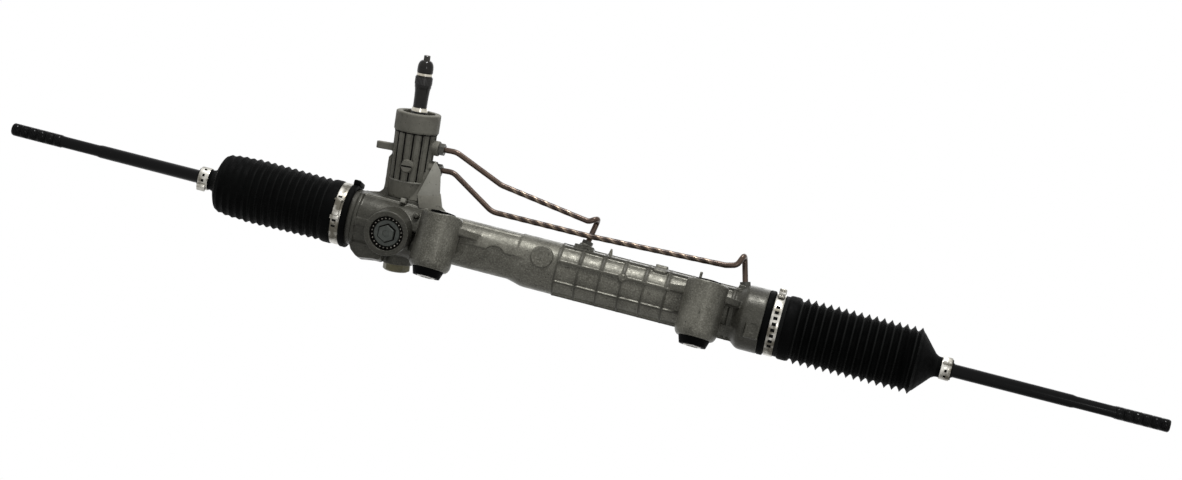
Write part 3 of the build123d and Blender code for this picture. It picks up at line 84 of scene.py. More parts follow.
class Finish:
    """One procedural finish: a principled shader and the patterns that feed it, in object space."""

    def __init__(self, name, colour, roughness, metallic=0.0, **plain):
        self.material = bpy.data.materials.new(name)
        self.material.use_nodes = True
        self.tree = self.material.node_tree
        self.tree.nodes.clear()
        self.shader = self.tree.nodes.new("ShaderNodeBsdfPrincipled")
        self.shader.inputs["Base Color"].default_value = (*colour, 1.0)
        self.shader.inputs["Roughness"].default_value = roughness
        self.shader.inputs["Metallic"].default_value = metallic
        for socket, value in plain.items():
            self.shader.inputs[socket.replace("_", " ")].default_value = value
        output = self.tree.nodes.new("ShaderNodeOutputMaterial")
        self.join(self.shader.outputs[0], output.inputs["Surface"])
        self.place = self.tree.nodes.new("ShaderNodeTexCoord").outputs["Object"]
        self.relief = None

    def join(self, source, target):
        self.tree.links.new(source, target)

    def stretched(self, scale, turn=(0.0, 0.0, 0.0)):
        """Object coordinates scaled and turned, for a pattern that runs one way."""
        mapping = self.tree.nodes.new("ShaderNodeMapping")
        mapping.inputs["Scale"].default_value = scale
        mapping.inputs["Rotation"].default_value = turn
        self.join(self.place, mapping.inputs["Vector"])
        return mapping.outputs[0]

    def grain(self, per_metre, detail=3.0, rough=0.55, where=None):
        """Noise with so many cells in a metre, about 0.3 to 0.7."""
        node = self.tree.nodes.new("ShaderNodeTexNoise")
        node.inputs["Scale"].default_value = per_metre
        node.inputs["Detail"].default_value = detail
        node.inputs["Roughness"].default_value = rough
        self.join(where or self.place, node.inputs["Vector"])
        return node.outputs["Fac"]

    def edges(self, low, high):
        """How far a point is on an outer edge, 0 to 1 between two pointiness values."""
        geometry = self.tree.nodes.new("ShaderNodeNewGeometry")
        return self.between(geometry.outputs["Pointiness"], low, high)

    def corners(self, reach):
        """How deep a point lies between walls within reach, 1 in a corner and 0 on open faces: the mask
        for painted shade.
        """
        near = self.tree.nodes.new("ShaderNodeAmbientOcclusion")
        near.samples = 6
        near.inputs["Distance"].default_value = reach
        return self.between(near.outputs["AO"], 0.40, 0.88, 1.0, 0.0)

    def between(self, source, low, high, start=0.0, end=1.0):
        node = self.tree.nodes.new("ShaderNodeMapRange")
        node.inputs["From Min"].default_value = low
        node.inputs["From Max"].default_value = high
        node.inputs["To Min"].default_value = start
        node.inputs["To Max"].default_value = end
        self.join(source, node.inputs["Value"])
        return node.outputs[0]

    def blend(self, amount, first, second):
        node = self.tree.nodes.new("ShaderNodeMix")
        node.data_type = "RGBA"
        colours = [s for s in node.inputs if s.type == "RGBA"]
        factor = next(s for s in node.inputs if s.type == "VALUE")
        self.feed(amount, factor)
        self.feed(first, colours[0])
        self.feed(second, colours[1])
        return next(s for s in node.outputs if s.type == "RGBA")

    def feed(self, value, socket):
        if isinstance(value, bpy.types.NodeSocket):
            self.join(value, socket)
        elif isinstance(value, tuple):
            socket.default_value = (*value, 1.0)
        else:
            socket.default_value = value

    def colour(self, source):
        self.join(source, self.shader.inputs["Base Color"])

    def rough(self, source, low, high):
        self.join(self.between(source, 0.3, 0.7, low, high), self.shader.inputs["Roughness"])

    def raise_by(self, height, strength, depth):
        """Adds a layer of bump, depth in metres."""
        bump = self.tree.nodes.new("ShaderNodeBump")
        bump.inputs["Strength"].default_value = strength
        bump.inputs["Distance"].default_value = depth
        self.join(height, bump.inputs["Height"])
        if self.relief is not None:
            self.join(self.relief, bump.inputs["Normal"])
        self.relief = bump.outputs[0]
        self.join(self.relief, self.shader.inputs["Normal"])


# A darker colour towards the ends of the housing: X in metres, and the share of the darkening at both
DARKER_ENDS = ((-0.030, 0.005, 1.0, 0.0), (0.296, 0.316, 0.0, 0.95))


def cast_finish(name, dark, light, edge, metallic, roughness, speckle=0.5, wear=0.8, end_darkening=0.0):
    """Cast aluminium: mottled skin, fine speckle, bright worn edges and painted shade in the corners.
    """
    f = Finish(name, light, roughness, metallic, Specular_IOR_Level=0.2)
    mottle = f.between(f.grain(38.0, 4.0), 0.35, 0.65)
    skin = f.blend(mottle, dark, light)
    fleck = f.between(f.grain(620.0, 2.0, 0.7), 0.46, 0.74, 0.0, speckle)
    skin = f.blend(fleck, skin, edge)
    specks = f.between(f.grain(330.0, 2.0), 0.26, 0.37, 0.75, 0.0)
    skin = f.blend(specks, skin, darker(dark, 0.35))
    # Darker towards both ends of the housing
    if end_darkening:
        along = f.tree.nodes.new("ShaderNodeSeparateXYZ")
        f.join(f.place, along.inputs[0])
        for low, high, start, end in DARKER_ENDS:
            film = f.between(along.outputs["X"], low, high, start * end_darkening, end * end_darkening)
            skin = f.blend(film, skin, darker(dark, 0.30))
    # Painted shade: darker where walls close in round a point
    skin = f.blend(f.corners(3.6 * MM), skin, darker(dark, 0.16))
    skin = f.blend(f.between(f.edges(0.53, 0.62), 0.0, 1.0, 0.0, wear), skin, edge)
    f.colour(skin)
    f.rough(f.grain(140.0), roughness - 0.10, roughness + 0.12)
    f.raise_by(f.grain(900.0, 3.0), 0.40, 0.25 * MM)
    f.raise_by(f.grain(170.0, 2.0), 0.35, 0.6 * MM)
    return f.material


def rubber_finish():
    """Matte black rubber, a little dusty, with a grey painted highlight in the valleys between the
    pleats.
    """
    f = Finish("rubber_black", (0.0016, 0.0017, 0.0017), 0.60, 0.0, Specular_IOR_Level=0.03)
    dust = f.between(f.grain(70.0, 4.0), 0.4, 0.75, 0.0, 0.4)
    body = f.blend(dust, (0.0015, 0.0016, 0.0016), (0.0055, 0.0056, 0.0055))
    # Painted highlight: grey in the hollows of the pleats
    body = f.blend(f.edges(0.49, 0.41), body, (0.034, 0.035, 0.034))
    f.colour(body)
    f.rough(f.grain(220.0), 0.50, 0.70)
    f.raise_by(f.grain(1500.0, 2.0), 0.18, 0.15 * MM)
    return f.material


def painted_rod_finish():
    """Gloss black paint with dull worn patches."""
    f = Finish("rod_black", (0.003, 0.003, 0.0032), 0.20, 0.0, Specular_IOR_Level=0.10)
    worn = f.between(f.grain(260.0, 4.0), 0.62, 0.75, 0.0, 0.6)
    f.colour(f.blend(worn, (0.003, 0.003, 0.0032), (0.014, 0.013, 0.012)))
    f.rough(f.grain(120.0), 0.16, 0.30)
    f.raise_by(f.grain(300.0, 3.0), 0.12, 0.3 * MM)
    return f.material


def turned_steel_finish(name, colour, roughness, stain, turn=(0.0, 0.0, 0.0), lines=900.0):
    """Machined steel with fine rings from the tool and a little stain."""
    f = Finish(name, colour, roughness, 1.0)
    rings = f.grain(1.0, 2.0, 0.5, f.stretched((12.0, 12.0, lines), turn))
    stains = f.between(f.grain(180.0, 5.0, 0.65), 0.5, 0.72)
    skin = f.blend(f.between(rings, 0.3, 0.7), darker(colour, 0.8), colour)
    f.colour(f.blend(stains, skin, stain))
    f.rough(f.grain(260.0), roughness - 0.08, roughness + 0.14)
    f.raise_by(rings, 0.15, 0.05 * MM)
    return f.material


def band_finish():
    """Stainless strip, brushed along its length and smudged, with painted shade where it meets the
    rubber.
    """
    f = Finish("stainless_band", (0.45, 0.43, 0.38), 0.30, 0.9)
    brushed = f.grain(1.0, 2.0, 0.6, f.stretched((1800.0, 60.0, 60.0)))
    smudge = f.between(f.grain(75.0, 4.0), 0.40, 0.60)
    skin = f.blend(f.between(brushed, 0.3, 0.7), (0.56, 0.545, 0.49), (0.80, 0.78, 0.72))
    skin = f.blend(smudge, skin, (0.13, 0.12, 0.096))
    # Painted shade where the band meets the rubber and its buckle
    f.colour(f.blend(f.corners(2.2 * MM), skin, (0.02, 0.018, 0.014)))
    f.rough(f.grain(300.0), 0.20, 0.42)
    f.raise_by(brushed, 0.10, 0.05 * MM)
    return f.material


def pipe_line_finish():
    """Steel line under brown varnish, plain on the bends, with a pale painted highlight on the spiral
    flats and dark painted shade in the turns of the long runs.
    """
    f = Finish("pipe_varnish", (0.085, 0.055, 0.038), 0.28, 0.55)
    twist = f.tree.nodes.new("ShaderNodeAttribute")
    twist.attribute_name = "twist"
    tint = f.between(f.grain(60.0, 4.0), 0.35, 0.65)
    brown = f.blend(tint, (0.086, 0.056, 0.040), (0.052, 0.033, 0.023))
    # Painted highlight on the flats and painted shade in the turns, placed by the twist attribute
    skin = f.blend(f.between(twist.outputs["Fac"], 0.04, 0.26), (0.24, 0.185, 0.135), brown)
    f.colour(f.blend(f.between(twist.outputs["Fac"], 0.58, 0.88), skin, (0.026, 0.017, 0.013)))
    f.rough(f.grain(250.0), 0.2, 0.38)
    f.raise_by(f.grain(900.0), 0.1, 0.08 * MM)
    return f.material


def blacked_steel_finish():
    """Hardened shaft steel under a dark oil film, with paler wear on its edges."""
    f = Finish("shaft_blacked", (0.006, 0.0055, 0.005), 0.16, 0.0, Specular_IOR_Level=0.22)
    film = f.between(f.grain(240.0, 4.0), 0.35, 0.7)
    skin = f.blend(film, (0.005, 0.0045, 0.004), (0.018, 0.016, 0.013))
    skin = f.blend(f.edges(0.54, 0.66), skin, (0.30, 0.28, 0.24))
    f.colour(skin)
    f.rough(f.grain(300.0), 0.10, 0.24)
    f.raise_by(f.grain(900.0), 0.08, 0.05 * MM)
    return f.material


def plated_finish(name, first, second, roughness, metallic):
    """Thin plating that clouds between two colours, with dark specks."""
    f = Finish(name, first, roughness, metallic)
    cloud = f.between(f.grain(110.0, 5.0), 0.35, 0.65)
    skin = f.blend(cloud, first, second)
    f.colour(f.blend(f.between(f.grain(500.0), 0.6, 0.75), skin, darker(first, 0.4)))
    f.rough(f.grain(240.0), roughness - 0.08, roughness + 0.12)
    f.raise_by(f.grain(1100.0), 0.2, 0.1 * MM)
    return f.material


def moulded_finish(name, colour, roughness, **plain):
    """One even colour with a fine grain: plastics, oxide films and the near-black painted shade in gaps
    and slots.
    """
    f = Finish(name, colour, roughness, **plain)
    f.colour(f.blend(f.grain(150.0, 3.0), darker(colour, 0.85), colour))
    f.rough(f.grain(400.0), roughness - 0.06, roughness + 0.08)
    f.raise_by(f.grain(1400.0), 0.15, 0.05 * MM)
    return f.material


FINISHES = {
    "cast_aluminium": cast_finish(
        "casting", (0.088, 0.085, 0.069), (0.150, 0.146, 0.121), (0.36, 0.35, 0.30), 0.30, 0.36,
        end_darkening=0.74),
    "tower_casting": cast_finish(
        "tower_casting", (0.158, 0.153, 0.128), (0.222, 0.216, 0.182), (0.26, 0.25, 0.215), 0.10, 0.62,
        speckle=0.3, wear=0.5),
    "black_rubber": rubber_finish(),
    "black_steel": painted_rod_finish(),
    "bright_steel": turned_steel_finish("steel_bright", (0.55, 0.54, 0.51), 0.26, (0.33, 0.31, 0.27)),
    "stainless_band": band_finish(),
    "dark_steel": blacked_steel_finish(),
    "yellow_passivate": plated_finish(
        "passivated_yellow", (0.105, 0.095, 0.045), (0.060, 0.054, 0.030), 0.38, 0.4),
    "phosphate": plated_finish(
        "phosphated_plug", (0.070, 0.078, 0.068), (0.040, 0.046, 0.041), 0.50, 0.20),
    "pipe_finish": pipe_line_finish(),
    "ptfe": moulded_finish("filled_ptfe", (0.10, 0.20, 0.16), 0.5),
    "acetal": moulded_finish("acetal_white", (0.72, 0.71, 0.66), 0.4),
    "sintered": plated_finish("sintered_iron", (0.20, 0.20, 0.19), (0.15, 0.15, 0.145), 0.5, 0.8),
}
# The rib finish is dark as painted shade for the dark lines round the ribs
# Pieces with few faces have no wear, which would cover them whole
RIB_SHADE_FINISH = cast_finish(
    "casting_ribs_shade", (0.058, 0.056, 0.045), (0.088, 0.085, 0.070), (0.12, 0.117, 0.10), 0.15, 0.46,
    speckle=0.3, wear=0.0)
# Pale casting finish: painted highlight on the foot ring's edge and ridge, and the colour of the
# tower's web
PALE_CAST_FINISH = cast_finish(
    "casting_pale", (0.300, 0.295, 0.255), (0.355, 0.348, 0.306), (0.30, 0.295, 0.27), 0.06, 0.62,
    speckle=0.3, wear=0.0)
NUT_FINISH = plated_finish("nut_zinc", (0.085, 0.083, 0.070), (0.055, 0.053, 0.045), 0.42, 0.4)
# The teeth cloud pale and dark; the pale is a painted highlight for the glints on the stake marks
TOOTH_GLINT_FINISH = plated_finish("teeth_glint", (0.42, 0.40, 0.35), (0.12, 0.115, 0.10), 0.36, 0.5)
# Near-black painted shade for the flute roots, the gap under the cap ring, and the plug's slot, groove
# and outline
SHADE_GAP_FINISH = moulded_finish("painted_shade_gap", (0.0045, 0.004, 0.0035), 0.75, Specular_IOR_Level=0.06)
SPLINE_FINISH = moulded_finish("spline_blacked", (0.014, 0.013, 0.012), 0.36)
JOURNAL_FINISH = turned_steel_finish(
    "journal_ground", (0.60, 0.57, 0.49), 0.20, (0.34, 0.30, 0.23), turn=(TOWER_LEAN, -TOWER_SKEW, 0.0))

slot_of = {entry["node"]: entry["material_slot"] for entry in frame["record"]["subparts"]}
for node_name, node in NODES.items():
    node.data.materials.clear()
    node.data.materials.append(
        NUT_FINISH if node_name == "pipe_union_nuts" else FINISHES[slot_of[node_name]])


# ------------------------------------------------------------------ mesh helpers
def mm(x, y, z):
    return Vector((x, y, z)) * MM


def host_of(name, mesh):
    """A new object in the scene that holds a mesh."""
    host = bpy.data.objects.new(name, mesh)
    bpy.context.scene.collection.objects.link(host)
    return host


def applied(host):
    """Plain mesh of an object with its modifiers applied.  The object is removed."""
    bpy.context.view_layer.update()
    mesh = bpy.data.meshes.new_from_object(host.evaluated_get(bpy.context.evaluated_depsgraph_get()))
    bpy.data.objects.remove(host)
    return mesh


def mesh_from(bm, name):
    """The mesh that has been built in bm, which is freed."""
    mesh = bpy.data.meshes.new(name)
    bm.to_mesh(mesh)
    bm.free()
    return mesh


def add_piece(name, mesh, slot, finish=None):
    """A visible piece in its slot, in that slot's finish unless another is given."""
    piece = host_of(name, mesh)
    mesh.materials.clear()
    mesh.materials.append(finish or FINISHES[slot])
    return piece


def smooth(mesh, sharp_from=35.0):
    mesh.shade_smooth()
    mesh.set_sharp_from_angle(angle=math.radians(sharp_from))


def frame_at(origin, axis, side=None):
    """Matrix whose local Z is axis, at an origin given in millimetres."""
    axis = Vector(axis).normalized()
    if side is None:
        side = (0, 0, 1) if abs(axis.z) < 0.9 else (1, 0, 0)
    side = Vector(side)
    first = (side - axis * side.dot(axis)).normalized()
    second = axis.cross(first)
    return Matrix.Translation(Vector(origin) * MM) @ Matrix((first, second, axis)).transposed().to_4x4()


ALONG_RACK = frame_at((0, RACK_Y, RACK_Z), (1, 0, 0), (0, -1, 0))     # local Z is +X, angle 0 faces -Y
ALONG_PINION = frame_at(PINION_CENTRE, PINION_DIR, ACROSS_DIR)
ALONG_YOKE = frame_at(YOKE_CENTRE, -NORMAL_DIR, (1, 0, 0))


def lathe(outline, place, segments=96, closed=False):
    """Mesh turned from (height, radius) points in millimetres about a frame's local Z."""
    bm = bmesh.new()
    rings = []
    for height, radius in outline:
        if radius < 1e-6:
            rings.append([bm.verts.new((0, 0, height * MM))])
            continue
        rings.append([
            bm.verts.new((
                radius * MM * math.cos(2 * math.pi * i / segments),
                radius * MM * math.sin(2 * math.pi * i / segments),
                height * MM,
            ))
            for i in range(segments)
        ])
    pairs = list(zip(rings, rings[1:])) + ([(rings[-1], rings[0])] if closed else [])
    for low, high in pairs:
        for i in range(segments):
            j = (i + 1) % segments
            corners = [low[i % len(low)], low[j % len(low)], high[j % len(high)], high[i % len(high)]]
            unique = list(dict.fromkeys(corners))
            if len(unique) > 2:
                bm.faces.new(unique)
    if not closed:
        for rim in (rings[0], rings[-1]):
            if len(rim) > 1:
                bm.faces.new(rim)
    bmesh.ops.recalc_face_normals(bm, faces=bm.faces)
    bm.transform(place)
    return mesh_from(bm, "turned")


def merged(*meshes):
    """One mesh from several."""
    bm = bmesh.new()
    for mesh in meshes:
        bm.from_mesh(mesh)
    return mesh_from(bm, "merged")


def block(size, place, round_by=0.0):
    """Closed block with rounded edges, size in millimetres, centred in a frame."""
    bm = bmesh.new()
    bmesh.ops.create_cube(bm, size=1.0)
    bm.transform(Matrix.Diagonal((*(s * MM for s in size), 1.0)))
    if round_by:
        bmesh.ops.bevel(
            bm, geom=bm.edges[:], offset=round_by * MM, segments=3, profile=0.5, affect="EDGES")
    bm.transform(place)
    return mesh_from(bm, "block")


def rack_frame(x, angle, radius):
    """Frame on a surface round the rack axis: local Z points outwards, local X along the rack.
    An angle of 0 faces -Y, and 90 faces up."""
    a = math.radians(angle)
    out = Vector((0.0, -math.cos(a), math.sin(a)))
    return frame_at(Vector((x, RACK_Y, RACK_Z)) + out * radius, out, (1, 0, 0))


def flat_plate(points, thickness):
    """Upright plate from corners given from the rack axis: along it, towards the back, and up."""
    bm = bmesh.new()
    rows = [
        [bm.verts.new(mm(x, RACK_Y + y + back, RACK_Z + z)) for x, y, z in points]
        for back in (0.0, thickness)
    ]
    bm.faces.new(rows[0])
    bm.faces.new(list(reversed(rows[1])))
    for i in range(len(points)):
        j = (i + 1) % len(points)
        bm.faces.new((rows[0][i], rows[1][i], rows[1][j], rows[0][j]))
    bmesh.ops.recalc_face_normals(bm, faces=bm.faces)
    bmesh.ops.bevel(bm, geom=bm.edges[:], offset=0.4 * MM, segments=2, profile=0.5, affect="EDGES")
    return mesh_from(bm, "plate")


# ------------------------------------------------------------------ geometry node trees
class Pattern:
    """A geometry node tree with named sizes, in metres, run once and turned into a plain mesh."""

    def __init__(self, name, **sizes):
        self.tree = bpy.data.node_groups.new(name, "GeometryNodeTree")
        sockets = self.tree.interface
        sockets.new_socket(name="Geometry", in_out="OUTPUT", socket_type="NodeSocketGeometry")
        self.sizes = {}
        for size_name, value in sizes.items():
            kind = "NodeSocketInt" if isinstance(value, int) else "NodeSocketFloat"
            socket = sockets.new_socket(name=size_name, in_out="INPUT", socket_type=kind)
            self.sizes[socket.identifier] = value
        self.entry = self.tree.nodes.new("NodeGroupInput")

    def get(self, size_name):
        return self.entry.outputs[size_name]

    def node(self, kind, **settings):
        node = self.tree.nodes.new(kind)
        for key, value in settings.items():
            setattr(node, key, value)
        return node

    def join(self, source, target):
        self.tree.links.new(source, target)

    def math(self, operation, first, second):
        node = self.node("ShaderNodeMath", operation=operation)
        for value, socket in ((first, node.inputs[0]), (second, node.inputs[1])):
            if isinstance(value, bpy.types.NodeSocket):
                self.join(value, socket)
            else:
                socket.default_value = value
        return node.outputs[0]

    def vector(self, **parts):
        """A vector from those of its X, Y and Z that are given."""
        node = self.node("ShaderNodeCombineXYZ")
        for axis, value in parts.items():
            self.join(value, node.inputs[axis])
        return node.outputs[0]

    def finish(self, geometry, material):
        realize = self.node("GeometryNodeRealizeInstances")
        paint = self.node("GeometryNodeSetMaterial")
        paint.inputs["Material"].default_value = material
        output = self.node("NodeGroupOutput")
        self.join(geometry, realize.inputs[0])
        self.join(realize.outputs[0], paint.inputs["Geometry"])
        self.join(paint.outputs[0], output.inputs[0])

    def run(self, place):
        """Evaluates the tree and returns its mesh, moved into a frame."""
        host = host_of(self.tree.name, bpy.data.meshes.new("host"))
        modifier = host.modifiers.new("pattern", "NODES")
        modifier.node_group = self.tree
        for identifier, value in self.sizes.items():
            modifier[identifier] = value
        mesh = applied(host)
        bm = bmesh.new()
        bm.from_mesh(mesh)
        bmesh.ops.remove_doubles(bm, verts=bm.verts, dist=1e-7)
        bmesh.ops.recalc_face_normals(bm, faces=bm.faces)
        bm.transform(place)
        bm.to_mesh(mesh)
        bm.free()
        return mesh


def ring_of(name, count, radius, size, height, place, material, balls=False):
    """Small blocks or balls spaced evenly round a circle: teeth, ribs or grooves.
    A block's size is its depth, width and length, and a ball's diameter is its width."""
    depth, width, length = size
    p = Pattern(name, Count=count, Radius=radius * MM, Height=height * MM,
                Width=width * MM, Depth=depth * MM, Length=length * MM)
    circle = p.node("GeometryNodeMeshCircle")
    p.join(p.get("Count"), circle.inputs["Vertices"])
    p.join(p.get("Radius"), circle.inputs["Radius"])
    if balls:
        tooth = p.node("GeometryNodeMeshIcoSphere")
        tooth.inputs["Subdivisions"].default_value = 2
        p.join(p.math("MULTIPLY", p.get("Width"), 0.5), tooth.inputs["Radius"])
    else:
        tooth = p.node("GeometryNodeMeshCube")
        measure = p.vector(X=p.get("Depth"), Y=p.get("Width"), Z=p.get("Length"))
        p.join(measure, tooth.inputs["Size"])
    step = p.math("DIVIDE", 2 * math.pi, p.get("Count"))
    turn = p.math("MULTIPLY", p.node("GeometryNodeInputIndex").outputs[0], step)
    spread = p.node("GeometryNodeInstanceOnPoints")
    p.join(circle.outputs["Mesh"], spread.inputs["Points"])
    p.join(tooth.outputs["Mesh"], spread.inputs["Instance"])
    p.join(p.vector(Z=turn), spread.inputs["Rotation"])
    lift = p.node("GeometryNodeTransform")
    p.join(p.vector(Z=p.get("Height")), lift.inputs["Translation"])
    p.join(spread.outputs[0], lift.inputs["Geometry"])
    p.finish(lift.outputs[0], material)
    return p.run(place)


def thread_ridge(name, radius, pitch, length, place, material):
    """Screw thread ridge: a spiral swept with a small square section, on its corner."""
    p = Pattern(name, Turns=length / pitch, Radius=radius * MM, Length=length * MM,
                Ridge=pitch * 0.52 * MM)
    spiral = p.node("GeometryNodeCurveSpiral")
    spiral.inputs["Resolution"].default_value = 20
    p.join(p.get("Turns"), spiral.inputs["Rotations"])
    p.join(p.get("Radius"), spiral.inputs["Start Radius"])
    p.join(p.get("Radius"), spiral.inputs["End Radius"])
    p.join(p.get("Length"), spiral.inputs["Height"])
    section = p.node("GeometryNodeCurvePrimitiveCircle")
    section.inputs["Resolution"].default_value = 4
    p.join(p.get("Ridge"), section.inputs["Radius"])
    sweep = p.node("GeometryNodeCurveToMesh")
    sweep.inputs["Fill Caps"].default_value = True
    p.join(spiral.outputs[0], sweep.inputs["Curve"])
    p.join(section.outputs[0], sweep.inputs["Profile Curve"])
    p.finish(sweep.outputs[0], material)
    return p.run(place)


# ------------------------------------------------------------------ castings
def softened_casting(name, node_name, extras, slot, voxel, keep):
    """Casting with rounded corners: a node's solid and what joins it, fused and smoothed."""
    rough = merged(NODES[node_name].data, *extras)
    bm = bmesh.new()
    bm.from_mesh(rough)
    bmesh.ops.remove_doubles(bm, verts=bm.verts, dist=2e-6)
    bm.to_mesh(rough)
    bm.free()
    host = host_of(name + "_raw", rough)
    remesh = host.modifiers.new("skin", "REMESH")
    remesh.mode = "VOXEL"
    remesh.voxel_size = voxel * MM
    ease = host.modifiers.new("ease", "SMOOTH")
    ease.factor = 0.5
    ease.iterations = 3
    if keep < 1.0:
        thin = host.modifiers.new("thin", "DECIMATE")
        thin.ratio = keep
    mesh = applied(host)
    mesh.shade_smooth()
    piece = add_piece(name, mesh, slot)
    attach(piece, "housing")
    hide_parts(node_name)


# Fills the bores that nothing shows, short of the inner sockets' studs at full travel
bore_core = lathe(
    [(-75.0, 0), (-75.0, 15), (132.5, 15), (132.5, 22.3), (328.0, 22.3), (328.0, 0)], ALONG_RACK, 48)
rib_boss = lathe(
    [(0, 0), (0, 4.6), (2.0, 4.0), (2.6, 2.6), (2.6, 0)], rack_frame(197.4, 10.0, 27.4), 24)
rib_pad = block((13.0, 15.0, 5.0), rack_frame(232.8, 62.0, 27.2), 1.2)
rear_web = flat_plate([(x, -3.0, z) for x, z in (
    (-100.4, 28.1), (-79.3, 32.7), (-76.1, 36.6), (-76.3, 43.0), (-77.3, 49.5), (-65.8, 52.4),
    (-51.4, 24.9), (-88.9, 15.3),
)], 22.0)
softened_casting(
    "rack_casting", "rack_housing", [bore_core, rib_boss, rib_pad, rear_web], "cast_aluminium",
    voxel=0.8, keep=0.45)
softened_casting(
    "tower_casting", "valve_housing", [], "tower_casting", voxel=0.6, keep=1.0)


# ------------------------------------------------------------------ ribs, webs and dark lines
def rib_rings(place):
    """Ribs round the tube, evenly spaced along it."""
    p = Pattern("tube_ribs", Count=9, Pitch=23.3 * MM, First=127.5 * MM, Radius=27.65 * MM,
                Width=1.7 * MM, Height=1.9 * MM)
    line = p.node("GeometryNodeMeshLine")
    p.join(p.get("Count"), line.inputs["Count"])
    p.join(p.vector(Z=p.get("Pitch")), line.inputs["Offset"])
    p.join(p.vector(Z=p.get("First")), line.inputs["Start Location"])
    circle = p.node("GeometryNodeCurvePrimitiveCircle")
    circle.inputs["Resolution"].default_value = 96
    p.join(p.get("Radius"), circle.inputs["Radius"])
    section = p.node("GeometryNodeCurvePrimitiveQuadrilateral")
    p.join(p.get("Height"), section.inputs["Width"])
    p.join(p.get("Width"), section.inputs["Height"])
    sweep = p.node("GeometryNodeCurveToMesh")
    p.join(circle.outputs[0], sweep.inputs["Curve"])
    p.join(section.outputs[0], sweep.inputs["Profile Curve"])
    spread = p.node("GeometryNodeInstanceOnPoints")
    p.join(line.outputs["Mesh"], spread.inputs["Points"])
    p.join(sweep.outputs[0], spread.inputs["Instance"])
    p.finish(spread.outputs[0], RIB_SHADE_FINISH)
    return p.run(place)


def turned(place, angle):
    """A frame turned about its own Z."""
    return place @ Matrix.Rotation(math.radians(angle), 4, "Z")


long_ribs = ring_of(
    "long_ribs", 8, 27.9, (2.7, 1.6, 203.0), 229.0, turned(ALONG_RACK, -10.0), RIB_SHADE_FINISH)
ribs = merged(rib_rings(ALONG_RACK), long_ribs)
smooth(ribs)
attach(add_piece("tube_ribs", ribs, "cast_aluminium", RIB_SHADE_FINISH), "housing")

PLATE_CORNERS = {
    "tower_web": [
        (-36.2, -19.0, 36.5), (-13.5, -14.2, 41.3), (-19.8, -14.2, 68.2), (-27.8, -15.5, 77.3)],
    "tower_foot": [
        (-36.2, -18.9, 38.5), (-30.9, -18.6, 24.0), (-15.8, -15.6, 24.1), (-0.3, -13.4, 25.8),
        (-8.4, -13.4, 32.0), (-13.6, -14.0, 45.2)],
}
for plate_name, corner_points in PLATE_CORNERS.items():
    plate = flat_plate(corner_points, 4.0)
    smooth(plate)
    plate_finish = PALE_CAST_FINISH if plate_name == "tower_web" else None
    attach(add_piece(plate_name, plate, "tower_casting", plate_finish), "housing")

# Painted shade: near-black lines in the roots of the tower's flutes, and a painted shadow under its cap
# ring.  The tower tapers, so each length of line has a radius of its own.
FLUTE_LOW, FLUTE_SPAN, FLUTE_ROOT, FLUTE_TAPER = 51.0, 52.2, 20.1, 1.0
flute_shade_lines = merged(*(
    ring_of(
        "flute_shade_lines", FLUTES, FLUTE_ROOT + FLUTE_TAPER * (low - FLUTE_LOW) / FLUTE_SPAN - 0.25,
        (1.2, 1.5, 13.1), low + 6.5, turned(ALONG_PINION, FLUTE_TURN), SHADE_GAP_FINISH)
    for low in (FLUTE_LOW, 64.0, 77.0, 90.0)))
cap_ring_shadow = lathe(
    [(101.9, 20.5), (101.9, 22.75), (103.2, 22.95), (103.2, 20.5)], ALONG_PINION, 96, closed=True)
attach(add_piece("tower_shade_lines", merged(flute_shade_lines, cap_ring_shadow), "tower_casting", SHADE_GAP_FINISH), "housing")

# Painted highlight: the tower's foot ring edge and the ridge under it in a pale finish, and the small
# lug in front of it in the same finish
foot_edge = lathe(
    [(50.0, 20.5), (50.0, 21.65), (51.0, 21.7), (51.4, 21.3), (51.4, 20.5)], ALONG_PINION, 96,
    closed=True)
lug = block((5.2, 3.0, 4.8), Matrix.Translation(mm(-48.6, RACK_Y - 21.0, RACK_Z + 27.2)), 0.6)
ridge = block((70.0, 1.1, 1.2), rack_frame(-56.0, 56.0, 30.1), 0.3)
edge_mesh = merged(foot_edge, lug, ridge)
smooth(edge_mesh, 30.0)
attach(add_piece("tower_foot_edge", edge_mesh, "tower_casting", PALE_CAST_FINISH), "housing")


# ------------------------------------------------------------------ plugs and input shaft
# Painted shade: a thin dark plate over the plug's slot
slot_frame = frame_at(
    PINION_CENTRE + PINION_DIR * 67.8 - NORMAL_DIR * 24.7, -NORMAL_DIR, PINION_DIR)
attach(add_piece("gallery_plug_slot", block((1.7, 10.8, 0.5), slot_frame), "dark_steel", SHADE_GAP_FINISH),
        "housing")

HEX_FRAME = turned(ALONG_YOKE, 30.0)
# The plug rim ring is painted shade in the groove round the disc
plug_rim = lathe(
    [(40.6, 14.2), (43.4, 14.2), (43.4, 17.0), (44.6, 17.15), (44.8, 17.8), (40.6, 17.85)],
    ALONG_YOKE, 96, closed=True)
plug_teeth = ring_of(
    "plug_teeth", 24, 15.75, (1.9, 1.9, 1.9), 43.7, ALONG_YOKE, TOOTH_GLINT_FINISH, balls=True)
